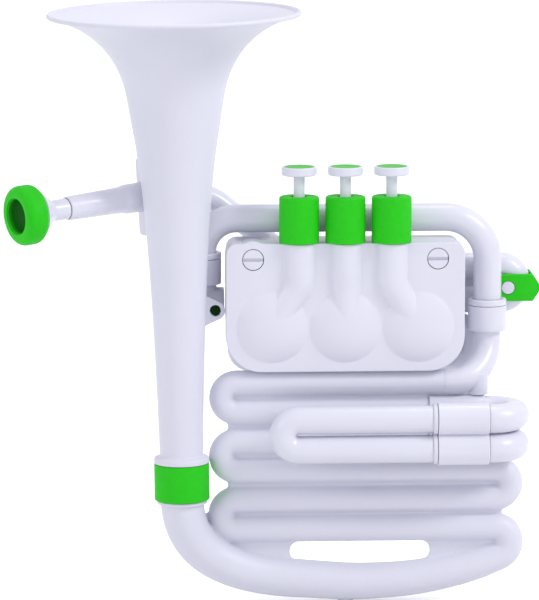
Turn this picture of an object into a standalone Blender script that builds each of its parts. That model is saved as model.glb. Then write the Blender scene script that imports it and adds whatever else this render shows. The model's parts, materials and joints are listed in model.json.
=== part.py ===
# Plastic horn with three piston-pressed rotary valves, a folded serpentine body and a pull-off front crook.
# Metres, +Z up, +Y away from the player's view of the valve cover. The origin lies on the flat front face of
# the valve cover, on its vertical centreline, so the cover's face is the plane y = 0.

import math

import bmesh
import bpy
from mathutils import Matrix, Vector
from mathutils.geometry import interpolate_bezier

# Fits
joint_gap = 0.0003
slide_gap = 0.0004
bore_overrun = 0.0020
step_ramp = 0.0004

# Facets, welds and shading
weld_distance = 0.00001
least_run = 0.00005
smooth_angle = math.radians(40.0)
quarter_turn = math.radians(90.0)
tube_sides = 10
socket_sides = 12
bore_sides = 6
bell_steps = 20
turn_steps = 16
small_turn_steps = 12
bend_step = math.radians(30.0)
bore_bend_step = math.radians(45.0)
corner_step = math.radians(30.0)

# Half the width of the valve cover, which the places of the tubing follow
cover_half_width = 0.0719

# Planes in depth that the tubing runs in
serpentine_y = 0.0096
crook_y = -0.0204
slide_y = 0.0260
rear_tube_y = 0.0465
valve_axis_y = 0.0040

# Serpentine body, two moulded halves
pass_pitch = 0.01793
pass_radius_first = 0.0076
pass_radius_last = 0.0083
body_wall = 0.0022
left_turn_inside_cover = 0.0066
left_turn_x = -cover_half_width + left_turn_inside_cover
right_turn_past_cover = 0.0197
right_turn_x = cover_half_width + right_turn_past_cover
first_pass_end_inside_cover = 0.0079
first_pass_end_x = cover_half_width - first_pass_end_inside_cover
spigot_end_past_cover = 0.0081
spigot_end_x = cover_half_width + spigot_end_past_cover
web_thickness = 0.0030
web_right_inside_cover = 0.0229
web_right_x = cover_half_width - web_right_inside_cover
web_lower_right_past_cover = 0.0241
web_lower_right_x = cover_half_width + web_lower_right_past_cover
notch_top_z = -0.0905
gusset_left_past_cover = 0.0042
gusset_left_x = cover_half_width + gusset_left_past_cover
gusset_right_past_cover = 0.0131
gusset_right_x = cover_half_width + gusset_right_past_cover
gusset_bottom_z = -0.0186
slot_left_x = -0.0330
slot_right_x = 0.0520
slot_top_z = -0.1084
slot_bottom_z = -0.1206
slot_corner = 0.0055
foot_x = 0.0010
foot_radius = 0.0042
foot_drop = 0.0018
foot_sink = 0.0090

# Bottom bow, which widens from the last pass to the bell collar
bow_shoulder_past_cover = 0.0141
bow_shoulder_x = cover_half_width + bow_shoulder_past_cover
bow_shoulder_bend = 0.0360
bow_low_x = 0.0300
bow_low_z = -0.1348
bow_low_bend = 0.2000
bow_heel_x = -0.0300
bow_heel_z = -0.1324
bow_heel_reach = 0.0400
bow_collar_reach = 0.0250
bow_heel_points = 7
bow_end_radius = 0.0131

# Bell
bell_past_cover = 0.0271
bell_base_y = 0.0005
bell_base_z = -0.0805
bell_base = Vector((-cover_half_width - bell_past_cover, bell_base_y, bell_base_z))
bell_lean = math.radians(-0.85)
bell_length = 0.2941
bell_rim_radius = 0.0760
bell_throat_radius = 0.0130
bell_flare_offset = 0.0117
bell_flare_power = 0.56
bell_wall = 0.0022
bell_rim_roll = 0.0016
bell_rings = 9
bell_joint_height = 0.2300
bell_joint_lap = 0.0050
bell_ring_crowding = 2.4
collar_radius = 0.0166
collar_lip = 0.0040
collar_flange = 0.0021
collar_flange_top = 0.0006
collar_socket_wall = 0.0019
band_height = 0.0221

# Top tuning slide
slide_radius = 0.0085
slide_wall = 0.0020
slide_top_z = 0.0872
slide_bend = 0.0195
slide_right_past_cover = 0.0159
slide_right_x = cover_half_width + slide_right_past_cover
slide_left_past_cover = 0.0133
slide_left_x = -cover_half_width - slide_left_past_cover
slide_insert = 0.0160
right_socket_top_z = 0.0362
left_socket_top_z = 0.0672
socket_depth = 0.0190
socket_wall = 0.0024
socket_cap_height = 0.0036
socket_floor = 0.0024
socket_edge = 0.0006
riser_radius = 0.0081
riser_wall = 0.0022
riser_bend = 0.0140
riser_knee_drop = 0.0030
elbow_radius = 0.0086
elbow_z = 0.0370
elbow_bend = 0.0095
seal_section = 0.0006

# Front crook
crook_radius = 0.0083
crook_wall = 0.0020
crook_turn_x = -0.0295
crook_socket_left_inside_cover = 0.0177
crook_socket_left_x = cover_half_width - crook_socket_left_inside_cover
crook_socket_right_past_cover = 0.0129
crook_socket_right_x = cover_half_width + crook_socket_right_past_cover
crook_socket_radius = 0.0100
crook_insert = 0.0240
connector_back_left_inside_cover = 0.0207
connector_back_left_x = cover_half_width - connector_back_left_inside_cover
connector_back_socket_radius = 0.0095
connector_tube_radius = 0.0085
connector_right_past_cover = 0.0286
connector_right_x = cover_half_width + connector_right_past_cover
connector_bore = 0.0063
socket_rounding = 0.0006

# Leadpipe, mouthpiece and bracket
leadpipe_yaw = math.radians(30.0)
leadpipe_pitch = math.radians(5.0)
leadpipe_knee_lead = 0.0025
leadpipe_knee_z = 0.1068
bracket_bridge = 0.0012
leadpipe_drop_past_cover = 0.0061
leadpipe_drop_x = -cover_half_width - leadpipe_drop_past_cover
leadpipe_drop_z = 0.0962
receiver_length = 0.0760
receiver_radius = 0.0072
shoulder_radius = 0.0084
shoulder_start = 0.0374
shoulder_end = 0.0560
shoulder_ramp = 0.0012
leadpipe_radius = 0.0070
leadpipe_bore = 0.0052
leadpipe_bend = 0.0200
leadpipe_drop_run = 1.27
leadpipe_insert = 0.0140
bracket_height = 0.0463
bracket_width = 0.0240
bracket_thickness = 0.0030
bracket_corner = 0.0108
neck_radius = 0.0063
shank_radius = 0.0056
shank_insert = 0.0260
shank_taper = 0.0004
mouthpiece_bore = 0.0024
cone_start = 0.0100
cup_back = 0.0215
cup_length = 0.0139
cup_radius = 0.0171
cup_hole_radius = 0.0105
cup_depth = 0.0104
cup_edge = 0.0035
cup_back_edge = 0.0035
cup_back_chamfer = 0.0011
cup_step = 0.0012
cup_spigot_length = 0.0020
cone_radius = 0.0110

# Rear tubing
rear_radius = 0.0085
rear_bore = 0.0064
rear_upper_z = 0.0540
rear_lower_z = 0.0340
rear_upper_start_x = -0.0120
rear_seam_inside_cover = 0.0079
rear_seam_x = cover_half_width - rear_seam_inside_cover
rear_bow_past_cover = 0.0256
rear_bow_x = cover_half_width + rear_bow_past_cover
inlet_x = 0.0440
inlet_bend = 0.0100
loop_radius = 0.0066
loop_bore = 0.0050
loop_upper_z = 0.0165
loop_lower_z = 0.0029
loop_left_inside_cover = 0.0169
loop_left_x = -cover_half_width + loop_left_inside_cover
loop_right_inside_cover = 0.0019
loop_right_x = cover_half_width - loop_right_inside_cover
loop_port_left_x = 0.0240
loop_port_right_x = 0.0460
loop_bend = 0.0085

# Water key
key_pivot_past_cover = 0.0295
key_pivot_x = cover_half_width + key_pivot_past_cover
key_pivot_z = 0.0422
key_boss_radius = 0.0040
key_arm_thickness = 0.0024
key_arm_half_height = 0.0093
key_arm_left_past_cover = 0.0236
key_arm_left_x = cover_half_width + key_arm_left_past_cover
key_pad_thickness = 0.0050
drain_hole_radius = 0.0022
key_arm_gap = 0.0006
key_pad_gap = 0.0006
key_pad_chamfer = 0.0028
key_pad_chamfer_height = 0.0044
key_boss_length = 0.0068

# Valve cover and housing
cover_bottom_z = -0.0026
cover_top_z = 0.0755
cover_top_corner = 0.0066
cover_bottom_corner = 0.0216
cover_depth = 0.0140
cover_wall = 0.0024
housing_back_y = 0.0340
housing_wall = 0.0024
lock_inside_cover = 0.0163
lock_x = cover_half_width - lock_inside_cover
lock_z = 0.0658
lock_radius = 0.0065
lock_head_depth = 0.0040
lock_slot_width = 0.0018
lock_slot_depth = 0.0010
lock_shaft_radius = 0.0021
lock_cam_length = 0.0100
lock_cam_width = 0.0034
lock_cam_thickness = 0.0022
lock_boss_radius = 0.0078
lock_lug_radius = 0.0111
lock_floor_y = 0.0060
cam_cavity_y = 0.0173

# Valves
valve_pitch = 0.0278
dome_radius = 0.0216
dome_inside_cover = 0.0063
dome_pitch = cover_half_width - dome_inside_cover - dome_radius
dome_z = 0.0246
dome_height = 0.0055
channel_radius = 0.0100
channel_wall = 0.0024
channel_bend_z = 0.0510
channel_tip = 0.0085
channel_tip_radius = 0.0072
channel_tip_taper = 0.0050
channel_bend = 0.0200
valve_travel = 0.0125
cap_radius = 0.0120
cap_height = 0.0278
cap_wall = 0.0024
cap_top_wall = 0.0030
cap_mouth_radius = 0.0048
cap_mouth_depth = 0.0014
cap_edge = 0.0012
neck_ring_height = 0.0055
neck_ring_wall = 0.0016
stem_radius = 0.0032
rod_radius = 0.0025
head_height = 0.0038
rod_end_z = 0.0660
button_gap = 0.0002
button_radius = 0.0107
button_thickness = 0.0047
button_edge = 0.0012
button_skin = 0.0010
inlay_radius = 0.0089
inlay_depth = 0.0012
inlay_dish = 0.0004
inlay_dish_radius = 0.0053
spring_wire = 0.0005
spring_turns = 3
spring_radius = 0.0050
crank_radius = 0.0090
crank_pin_radius = 0.0020
crank_swing = math.radians(90.0)
yoke_front_y = 0.0046
yoke_thickness = 0.0028
yoke_clearance = 0.0006
yoke_frame = 0.0022
yoke_bar_width = 0.0060
rotor_radius = 0.0170
rotor_front_y = 0.0120
rotor_back_y = 0.0280
rotor_spindle_radius = 0.0030
rotor_passage_radius = 0.0090
rotor_passage_x = 0.0187
chamber_wall = 0.0022
conduit_radius = 0.0072
conduit_bore = 0.0050
conduit_y = 0.0240
conduit_end_inside_cover = 0.0177
conduit_end_x = -cover_half_width + conduit_end_inside_cover

# Brace between bell and housing
brace_y = 0.0085
brace_thickness = 0.0030
brace_half_base = 0.0103
brace_tip_radius = 0.0058
brace_tip_points = 7
brace_tip_swing = math.radians(60.0)
brace_waist = 0.0082
brace_hole_radius = 0.0035
brace_z = 0.0341
brace_hole_past_cover = 0.0061
brace_hole_x = -cover_half_width - brace_hole_past_cover
bush_recess = 0.0008

white = ("white_plastic", (0.78, 0.77, 0.90, 1.0), 0.35)
green = ("green_plastic", (0.035, 0.60, 0.018, 1.0), 0.5)
dark_green = ("dark_rubber", (0.001, 0.02, 0.001, 1.0), 0.7)
steel = ("spring_steel", (0.55, 0.55, 0.56, 1.0), 0.3)

for old_object in list(bpy.data.objects):
    bpy.data.objects.remove(old_object, do_unlink=True)

horn = bpy.data.collections.new("plastic_horn")
tools = bpy.data.collections.new("horn_cutters")
for group in (horn, tools):
    bpy.context.scene.collection.children.link(group)


# Helpers

def finish_material(name, colour, roughness):
    material = bpy.data.materials.get(name)
    if material is None:
        material = bpy.data.materials.new(name)
        material.use_nodes = True
        shader = material.node_tree.nodes["Principled BSDF"]
        shader.inputs["Base Color"].default_value = colour
        shader.inputs["Roughness"].default_value = roughness
        shader.inputs["Metallic"].default_value = 1.0 if name == "spring_steel" else 0.0
    return material


def as_part(shape, name, finish):
    """Makes an object a named sub-part with its own material."""
    shape.name = name
    shape.data.name = name
    shape.data.materials.clear()
    shape.data.materials.append(finish_material(name + "_" + finish[0], finish[1], finish[2]))
    for group in list(shape.users_collection):
        group.objects.unlink(shape)
    horn.objects.link(shape)
    shape.hide_render = False
    shape.display_type = "SOLID"
    if shape.type == "MESH":
        shape.data.shade_smooth()
        shape.data.set_sharp_from_angle(angle=smooth_angle)
    return shape


def as_tool(shape):
    """Keeps an object as a cutter or a shape to join, out of renders and of the assembly."""
    for group in list(shape.users_collection):
        group.objects.unlink(shape)
    tools.objects.link(shape)
    shape.hide_render = True
    shape.display_type = "WIRE"
    return shape


def mesh_object(name, mesh, matrix=None):
    shape = bpy.data.objects.new(name, mesh)
    tools.objects.link(shape)
    if matrix is not None:
        shape.matrix_world = matrix
    return as_tool(shape)


def bmesh_object(name, shape_mesh, matrix=None):
    mesh = bpy.data.meshes.new(name)
    bmesh.ops.recalc_face_normals(shape_mesh, faces=shape_mesh.faces)
    shape_mesh.to_mesh(mesh)
    shape_mesh.free()
    return mesh_object(name, mesh, matrix)


def curve_to_mesh(curve_object):
    """The solid that a capped curve or a filled outline makes, with its caps welded on."""
    bpy.context.view_layer.update()
    evaluated = curve_object.evaluated_get(bpy.context.evaluated_depsgraph_get())
    mesh = bpy.data.meshes.new_from_object(evaluated)
    welded = bmesh.new()
    welded.from_mesh(mesh)
    bmesh.ops.remove_doubles(welded, verts=welded.verts, dist=weld_distance)
    bmesh.ops.recalc_face_normals(welded, faces=welded.faces)
    welded.to_mesh(mesh)
    welded.free()
    solid = mesh_object(curve_object.name + "_solid", mesh, curve_object.matrix_world.copy())
    bpy.data.objects.remove(curve_object, do_unlink=True)
    return solid


def combine(shape, operation, *others):
    """Adds Boolean modifiers that join or cut the shape with each of the others."""
    for other in others:
        modifier = shape.modifiers.new(operation.lower() + "_" + other.name, "BOOLEAN")
        modifier.operation = operation
        modifier.solver = "EXACT"
        modifier.object = as_tool(other)
    return shape


def join(shape, *others):
    return combine(shape, "UNION", *others)


def cut(shape, *others):
    return combine(shape, "DIFFERENCE", *others)


def meshed_as_manifold(shape):
    """Sets the shape's Booleans to the solver that settles faces which lie in one plane."""
    for modifier in shape.modifiers:
        if modifier.type == "BOOLEAN":
            modifier.solver = "MANIFOLD"
    return shape


def applied(shape):
    """The shape as a plain mesh with its modifiers baked in, so that it can cut others."""
    bpy.context.view_layer.update()
    evaluated = shape.evaluated_get(bpy.context.evaluated_depsgraph_get())
    mesh = bpy.data.meshes.new_from_object(evaluated)
    solid = mesh_object(shape.name + "_applied", mesh, shape.matrix_world.copy())
    bpy.data.objects.remove(shape, do_unlink=True)
    return solid


def axis_matrix(origin, direction):
    """A frame at origin whose own Z runs along direction."""
    turn = Vector(direction).to_track_quat("Z", "Y").to_matrix().to_4x4()
    return Matrix.Translation(Vector(origin)) @ turn


def along_y(x, y, z):
    """A frame whose own Z runs along +Y, with its own Y pointing down."""
    return Matrix.Translation(Vector((x, y, z))) @ Matrix.Rotation(-quarter_turn, 4, "X")


def cylinder(name, matrix, radius, length, sides=turn_steps, top_radius=None):
    """A cylinder or cone whose base circle is at the frame's origin and whose axis is its own +Z."""
    solid = bmesh.new()
    bmesh.ops.create_cone(solid, cap_ends=True, segments=sides, radius1=radius,
                          radius2=radius if top_radius is None else top_radius, depth=length,
                          matrix=Matrix.Translation((0.0, 0.0, length / 2)))
    return bmesh_object(name, solid, matrix)


def block(name, low, high):
    """A box between two corners."""
    low, high = Vector(low), Vector(high)
    solid = bmesh.new()
    size = Matrix.Diagonal((*(high - low), 1.0))
    bmesh.ops.create_cube(solid, size=1.0, matrix=Matrix.Translation((low + high) / 2) @ size)
    return bmesh_object(name, solid)


def turned(name, profile, matrix, steps=turn_steps, closed=False):
    """A turned shape from (radius, height) points that run down its outer side."""
    mesh = bpy.data.meshes.new(name)
    edges = [(i, i + 1) for i in range(len(profile) - 1)]
    if closed:
        edges.append((len(profile) - 1, 0))
    mesh.from_pydata([(radius, 0.0, height) for radius, height in profile], edges, [])
    shape = mesh_object(name, mesh, matrix)
    screw = shape.modifiers.new("turn", "SCREW")
    screw.steps = steps
    screw.render_steps = steps
    screw.use_merge_vertices = True
    screw.merge_threshold = weld_distance
    return shape


def rounded_path(corners, bends, step=bend_step):
    """Straight runs between corners, with an arc of the given radius at each inner corner."""
    corners = [Vector(corner) for corner in corners]
    path = [corners[0]]
    for before, corner, after, radius in zip(corners, corners[1:], corners[2:], bends):
        inward, outward = (corner - before).normalized(), (after - corner).normalized()
        turn = inward.angle(outward)
        side = (outward - inward * inward.dot(outward)).normalized()
        start = corner - inward * (radius * math.tan(turn / 2))
        count = max(2, round(turn / step))
        for i in range(count + 1):
            angle = turn * i / count
            point = start + inward * (radius * math.sin(angle)) + side * (radius * (1 - math.cos(angle)))
            if (point - path[-1]).length > least_run:
                path.append(point)
    if (corners[-1] - path[-1]).length > least_run:
        path.append(corners[-1])
    return path


def path_length(path):
    return sum((b - a).length for a, b in zip(path, path[1:]))


def with_stations(path, stations):
    """The path with extra points at the given distances from its start, and each point's distance."""
    points, distances, travelled = [path[0]], [0.0], 0.0
    waiting = sorted(stations)
    for a, b in zip(path, path[1:]):
        run = (b - a).length
        while waiting and waiting[0] < travelled + run - least_run:
            station = waiting.pop(0)
            if station > travelled + least_run:
                points.append(a.lerp(b, (station - travelled) / run))
                distances.append(station)
        travelled += run
        points.append(b)
        distances.append(travelled)
    return points, distances


def profile_at(profile, distance):
    """The radius that a list of (distance, radius) pairs gives at a distance."""
    if distance <= profile[0][0]:
        return profile[0][1]
    for (d0, r0), (d1, r1) in zip(profile, profile[1:]):
        if distance <= d1:
            return r0 + (r1 - r0) * (distance - d0) / (d1 - d0)
    return profile[-1][1]


def swept(name, path, radius, sides=tube_sides):
    """A solid rod along a path; radius is one value or a list of (distance, radius) pairs."""
    profile = radius if isinstance(radius, list) else [(0.0, radius)]
    points, distances = with_stations(path, [distance for distance, _ in profile])
    curve = bpy.data.curves.new(name, "CURVE")
    curve.dimensions = "3D"
    curve.bevel_depth = profile[0][1]
    curve.bevel_resolution = (sides - 4) // 2
    curve.use_fill_caps = True
    spline = curve.splines.new("POLY")
    spline.points.add(len(points) - 1)
    for point, place, distance in zip(spline.points, points, distances):
        point.co = (*place, 1.0)
        point.radius = profile_at(profile, distance) / curve.bevel_depth
    rod = bpy.data.objects.new(name, curve)
    tools.objects.link(rod)
    return curve_to_mesh(rod)


def clear_of(radius, gap, sides):
    """The radius of a bore whose flats clear a round piece by a gap."""
    return (radius + gap) / math.cos(math.pi / sides)


def lengthened(path, extra):
    """The path carried straight on past both ends."""
    first = path[0] + (path[0] - path[1]).normalized() * extra
    last = path[-1] + (path[-1] - path[-2]).normalized() * extra
    return [first, *path, last]


def bore_along(name, path, radius, sides=tube_sides, extra=bore_overrun):
    """A cutter along a path that runs past both of its ends."""
    if isinstance(radius, list):
        radius = [(distance + extra, value) for distance, value in radius]
    return swept(name, lengthened(path, extra), radius, sides)


def plate(name, outline, y_front, thickness, holes=()):
    """A flat piece in the XZ plane from outlines of (x, z) points, from y_front backwards."""
    curve = bpy.data.curves.new(name, "CURVE")
    curve.dimensions = "2D"
    curve.fill_mode = "BOTH"
    curve.extrude = thickness / 2
    for ring in (outline, *holes):
        spline = curve.splines.new("POLY")
        spline.points.add(len(ring) - 1)
        spline.use_cyclic_u = True
        for point, (x, z) in zip(spline.points, ring):
            point.co = (x, z, 0.0, 1.0)
    flat = bpy.data.objects.new(name, curve)
    tools.objects.link(flat)
    flat.matrix_world = Matrix.Translation((0.0, y_front + thickness / 2, 0.0)) @ \
        Matrix.Rotation(quarter_turn, 4, "X")
    return curve_to_mesh(flat)


def rounded_outline(corners, step=corner_step):
    """A closed outline of (x, z, corner radius) points with each corner rounded."""
    ring = []
    count = len(corners)
    for i, (x, z, radius) in enumerate(corners):
        before, after = corners[i - 1], corners[(i + 1) % count]
        if radius <= 0.0:
            ring.append((x, z))
            continue
        a, p, b = Vector(before[:2]), Vector((x, z)), Vector(after[:2])
        arc = rounded_path([a.to_3d(), p.to_3d(), b.to_3d()], [radius], step)[1:-1]
        ring.extend((point.x, point.y) for point in arc)
    return ring


# Bell and its collar

bell_up = Vector((math.sin(bell_lean), 0.0, math.cos(bell_lean)))
bell_frame = axis_matrix(bell_base, bell_up)
band_bottom = collar_flange_top + joint_gap
lip_bottom = band_bottom + band_height + joint_gap
lip_top = lip_bottom + collar_lip
spigot_socket_radius = bell_throat_radius + joint_gap
collar_socket_radius = spigot_socket_radius + collar_socket_wall


def bell_radius(height):
    """Outer radius at a height above the bell's seat, on a flare that passes through throat and rim."""
    from_rim = bell_length - height
    tail = ((bell_length - lip_top + bell_flare_offset) / bell_flare_offset) ** -bell_flare_power
    share = ((from_rim + bell_flare_offset) / bell_flare_offset) ** -bell_flare_power
    return bell_throat_radius + (bell_rim_radius - bell_throat_radius) * (share - tail) / (1 - tail)


def bell_heights():
    """Heights of the bell's rings, close together where it flares."""
    run = bell_length - lip_top
    return [bell_length - run * (i / bell_rings) ** bell_ring_crowding for i in range(bell_rings + 1)]


def bell_skins(top, bottom):
    """The bell's outer points down from one height to another, and its inner points back up."""
    heights = [top, *(height for height in bell_heights() if bottom + least_run < height < top - least_run),
               bottom]
    outer = [(bell_radius(height), height) for height in heights]
    return outer, [(radius - bell_wall, height) for radius, height in reversed(outer)]


def build_bell():
    """The flare and the tail, lapped over each other below the flare and open right through."""
    seam, lap = bell_joint_height, bell_joint_height - bell_joint_lap
    lap_wall = (bell_wall - joint_gap) / 2
    outer, inner = bell_skins(bell_length, seam)
    inner[-1] = (bell_rim_radius - bell_rim_roll, bell_length + bell_rim_roll)
    rim = (bell_rim_radius, bell_length + bell_rim_roll)
    lap_top, lap_end = bell_radius(seam) - lap_wall, bell_radius(lap) - lap_wall
    profile = [rim, *outer[:-1], outer[-1], (bell_radius(lap), lap), (lap_end, lap), (lap_top, seam), *inner]
    as_part(turned("bell", profile, bell_frame, bell_steps, closed=True), "bell", white)

    outer, inner = bell_skins(lap - joint_gap, lip_top)
    chamfer = collar_lip / 5
    tip = seam - joint_gap
    profile = [(bell_radius(tip) - bell_wall + lap_wall, tip),
               (bell_radius(lap) - bell_wall + lap_wall, lap - joint_gap), *outer[:-1],
               (bell_throat_radius + chamfer, lip_top), (collar_radius, lip_top - chamfer),
               (collar_radius, lip_bottom), (bell_throat_radius, lip_bottom), (bell_throat_radius, 0.0),
               (bell_throat_radius - bell_wall, 0.0), *inner[:-1], (bell_radius(tip) - bell_wall, tip)]
    as_part(turned("bell_tail", profile, bell_frame, bell_steps, closed=True), "bell_tail", white)


def build_collar_band():
    inner = collar_socket_radius + joint_gap
    top = band_bottom + band_height
    profile = [(inner, top), (collar_radius, top), (collar_radius, band_bottom), (inner, band_bottom)]
    band = turned("bell_collar_band", profile, bell_frame, bell_steps, closed=True)
    as_part(band, "bell_collar_band", green)


# Serpentine body in two moulded halves

first_pass_z = cover_bottom_z - joint_gap - pass_radius_first


def pass_z(number):
    """Height of a serpentine pass, counted from 1 at the top."""
    return first_pass_z - (number - 1) * pass_pitch


def serpentine(points, bends, step):
    """A path in the plane of the serpentine through (x, z) corners."""
    return rounded_path([(x, serpentine_y, z) for x, z in points], bends, step)


def upper_passes(step=bend_step):
    """Centre line of passes 1 and 2, joined by the first left turn."""
    left = left_turn_x - pass_pitch / 2
    return serpentine([(first_pass_end_x, pass_z(1)), (left, pass_z(1)), (left, pass_z(2)),
                       (spigot_end_x, pass_z(2))], [pass_pitch / 2] * 2, step)


def lower_passes(step=bend_step):
    """Centre line of passes 3 to 6 and the last right turn into the bottom bow."""
    left, right = left_turn_x - pass_pitch / 2, right_turn_x + pass_pitch / 2
    points = [(spigot_end_x, pass_z(3)), (left, pass_z(3)), (left, pass_z(4)), (right, pass_z(4)),
              (right, pass_z(5)), (left, pass_z(5)), (left, pass_z(6)), (right, pass_z(6)),
              (right, pass_z(7)), (right_turn_x, pass_z(7))]
    return serpentine(points, [pass_pitch / 2] * 8, step)


def bow_path():
    """Centre line of the bottom bow, from the last turn to the bell's seat."""
    run = serpentine([(right_turn_x, pass_z(7)), (bow_shoulder_x, pass_z(7)), (bow_low_x, bow_low_z),
                      (bow_heel_x, bow_heel_z)], [bow_shoulder_bend, bow_low_bend], bend_step)
    heading = (run[-1] - run[-2]).normalized()
    top = bell_base + bell_up * (collar_flange_top / 2)
    heel = interpolate_bezier(run[-1], run[-1] + heading * bow_heel_reach,
                              top - bell_up * bow_collar_reach, top, bow_heel_points)
    return run + heel[1:]


def body_outline_web():
    """The flat web that ties the passes, with the bow's centre line as its lower edge."""
    upper, lower = pass_z(1), pass_z(4)
    bow = [(point.x, point.z) for point in bow_path() if point.z < notch_top_z - pass_radius_last]
    return [(left_turn_x, notch_top_z), (left_turn_x, upper), (web_right_x, upper), (web_right_x, lower),
            (web_lower_right_x, lower), (web_lower_right_x, pass_z(6)), *bow, (bow[-1][0], notch_top_z)]


def build_body():
    bow = bow_path()

    def growth(passes, wall):
        """Radii along the passes and the bow, with a wall taken off."""
        run = path_length(passes)
        return [(0.0, pass_radius_first - wall), (run, pass_radius_last - wall),
                (run + path_length(bow), bow_end_radius - wall)]

    solid = swept("body", lower_passes() + bow[1:], growth(lower_passes(), 0.0))
    slot = rounded_outline([(slot_left_x, slot_top_z, slot_corner), (slot_right_x, slot_top_z, slot_corner),
                            (slot_right_x, slot_bottom_z, slot_corner),
                            (slot_left_x, slot_bottom_z, slot_corner)])
    web = plate("web", body_outline_web(), serpentine_y - web_thickness / 2, web_thickness, [slot])
    flange_base = bell_base + bell_up * (collar_flange_top - collar_flange)
    flange = cylinder("flange", axis_matrix(flange_base, bell_up), collar_radius, collar_flange, bell_steps)
    socket = cylinder("collar_socket", axis_matrix(bell_base, bell_up), collar_socket_radius,
                      lip_bottom - joint_gap, bell_steps)
    foot_z = bow_low_z - foot_drop - foot_sink
    foot = cylinder("foot", Matrix.Translation((foot_x, serpentine_y, foot_z)), foot_radius, foot_sink,
                    small_turn_steps)
    join(solid, swept("upper_passes", upper_passes(), pass_radius_first), web, flange, socket, foot)
    seat = cylinder("bell_seat", axis_matrix(bell_base - bell_up * joint_gap, bell_up), spigot_socket_radius,
                    lip_top, bell_steps)
    bored = lower_passes(bore_bend_step)
    upper_bore = bore_along("upper_bore", upper_passes(bore_bend_step), pass_radius_first - body_wall,
                            bore_sides)
    lower_bore = bore_along("lower_bore", bored + bow[1:], growth(bored, body_wall), bore_sides)
    cut(solid, upper_bore, lower_bore, seat)
    solid = applied(meshed_as_manifold(solid))

    reach = bell_length
    halves = (("body_front_shell", serpentine_y - joint_gap / 2, serpentine_y + reach),
              ("body_rear_shell", serpentine_y - reach, serpentine_y + joint_gap / 2))
    for name, near, far in halves:
        half = mesh_object(name, solid.data.copy(), solid.matrix_world.copy())
        away = block(name + "_parting", (-reach, near, -reach), (reach, far, reach))
        as_part(meshed_as_manifold(cut(half, away)), name, white)
    bpy.data.objects.remove(solid, do_unlink=True)


# Pipes

def pipe(name, path, outer, bore, extras=(), sides=tube_sides):
    """A hollow pipe, with any extra shapes joined to its outside before it is bored."""
    shape = swept(name, path, outer, sides)
    join(shape, *extras)
    return cut(shape, bore_along(name + "_bore", path, bore, sides))


def build_tuning_slide():
    path = rounded_path([(slide_right_x, slide_y, right_socket_top_z - slide_insert),
                         (slide_right_x, slide_y, slide_top_z), (slide_left_x, slide_y, slide_top_z),
                         (slide_left_x, slide_y, left_socket_top_z - slide_insert)],
                        [slide_bend] * 2, corner_step)
    as_part(pipe("tuning_slide_bow", path, slide_radius, slide_radius - slide_wall),
            "tuning_slide_bow", white)


socket_bore = clear_of(slide_radius, slide_gap, socket_sides)
socket_radius = socket_bore + socket_wall


def stepped(first, step, second, ramp=step_ramp):
    """A radius profile that changes from one radius to another over a short ramp."""
    return [(0.0, first), (step, first), (step + ramp, second)]


def build_right_socket():
    top = right_socket_top_z - socket_cap_height - joint_gap
    knee_z = right_socket_top_z - socket_depth - riser_knee_drop
    path = rounded_path([(slide_right_x, slide_y, top), (slide_right_x, slide_y, knee_z),
                         (slide_right_x, serpentine_y, pass_z(1)),
                         (first_pass_end_x + joint_gap, serpentine_y, pass_z(1))],
                        [riser_bend] * 2, corner_step)
    run = path_length(path)
    depth = socket_depth - socket_cap_height
    outer = [(0.0, socket_radius), (depth, socket_radius), (depth + socket_edge, riser_radius),
             (run - riser_bend, riser_radius), (run, pass_radius_first)]
    floor = depth - socket_floor
    bore = [(0.0, socket_bore), (floor, socket_bore), (floor + step_ramp, riser_radius - riser_wall),
            (run, pass_radius_first - body_wall)]
    gusset = block("gusset", (gusset_left_x, serpentine_y - web_thickness / 2, gusset_bottom_z),
                   (gusset_right_x, serpentine_y + web_thickness / 2, pass_z(1)))
    socket = pipe("slide_socket_right", path, outer, bore, [gusset], socket_sides)
    as_part(socket, "slide_socket_right", white)


def build_left_socket():
    top = left_socket_top_z - socket_cap_height - joint_gap
    path = rounded_path([(slide_left_x, slide_y, top), (slide_left_x, slide_y, elbow_z),
                         (-cover_half_width - joint_gap, slide_y, elbow_z)], [elbow_bend], corner_step)
    depth = socket_depth - socket_cap_height
    as_part(pipe("slide_socket_left", path, stepped(socket_radius, depth, elbow_radius),
                 stepped(socket_bore, depth - socket_floor, conduit_bore), sides=socket_sides),
            "slide_socket_left", white)


def build_socket_cap(side, x, top_z):
    """A ring that closes the socket's mouth and holds its seal in a groove underneath."""
    groove_radius = socket_bore + seal_section * 2 + joint_gap
    groove_height = seal_section * 2 + joint_gap
    profile = [(socket_bore, 0.0), (socket_radius - socket_edge, 0.0), (socket_radius, -socket_edge),
               (socket_radius, -socket_cap_height), (groove_radius, -socket_cap_height),
               (groove_radius, groove_height - socket_cap_height),
               (socket_bore, groove_height - socket_cap_height)]
    frame = Matrix.Translation((x, slide_y, top_z))
    as_part(turned("socket_cap", profile, frame, closed=True), "socket_cap_" + side, white)
    inner, low = slide_radius + joint_gap, -socket_cap_height
    outer, high = inner + seal_section * 2, low + seal_section * 2
    seal = [(inner, high), (outer, high), (outer, low), (inner, low)]
    as_part(turned("seal", seal, frame, small_turn_steps, closed=True), "slide_seal_" + side, dark_green)


# Front crook

def build_crook_loop():
    left = crook_turn_x - pass_pitch / 2
    inserted = crook_socket_left_x + crook_insert
    path = rounded_path([(inserted, crook_y, pass_z(2)), (left, crook_y, pass_z(2)),
                         (left, crook_y, pass_z(3)), (inserted, crook_y, pass_z(3))],
                        [pass_pitch / 2] * 2, corner_step)
    as_part(pipe("crook_loop", path, crook_radius, crook_radius - crook_wall), "crook_loop", white)


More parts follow.
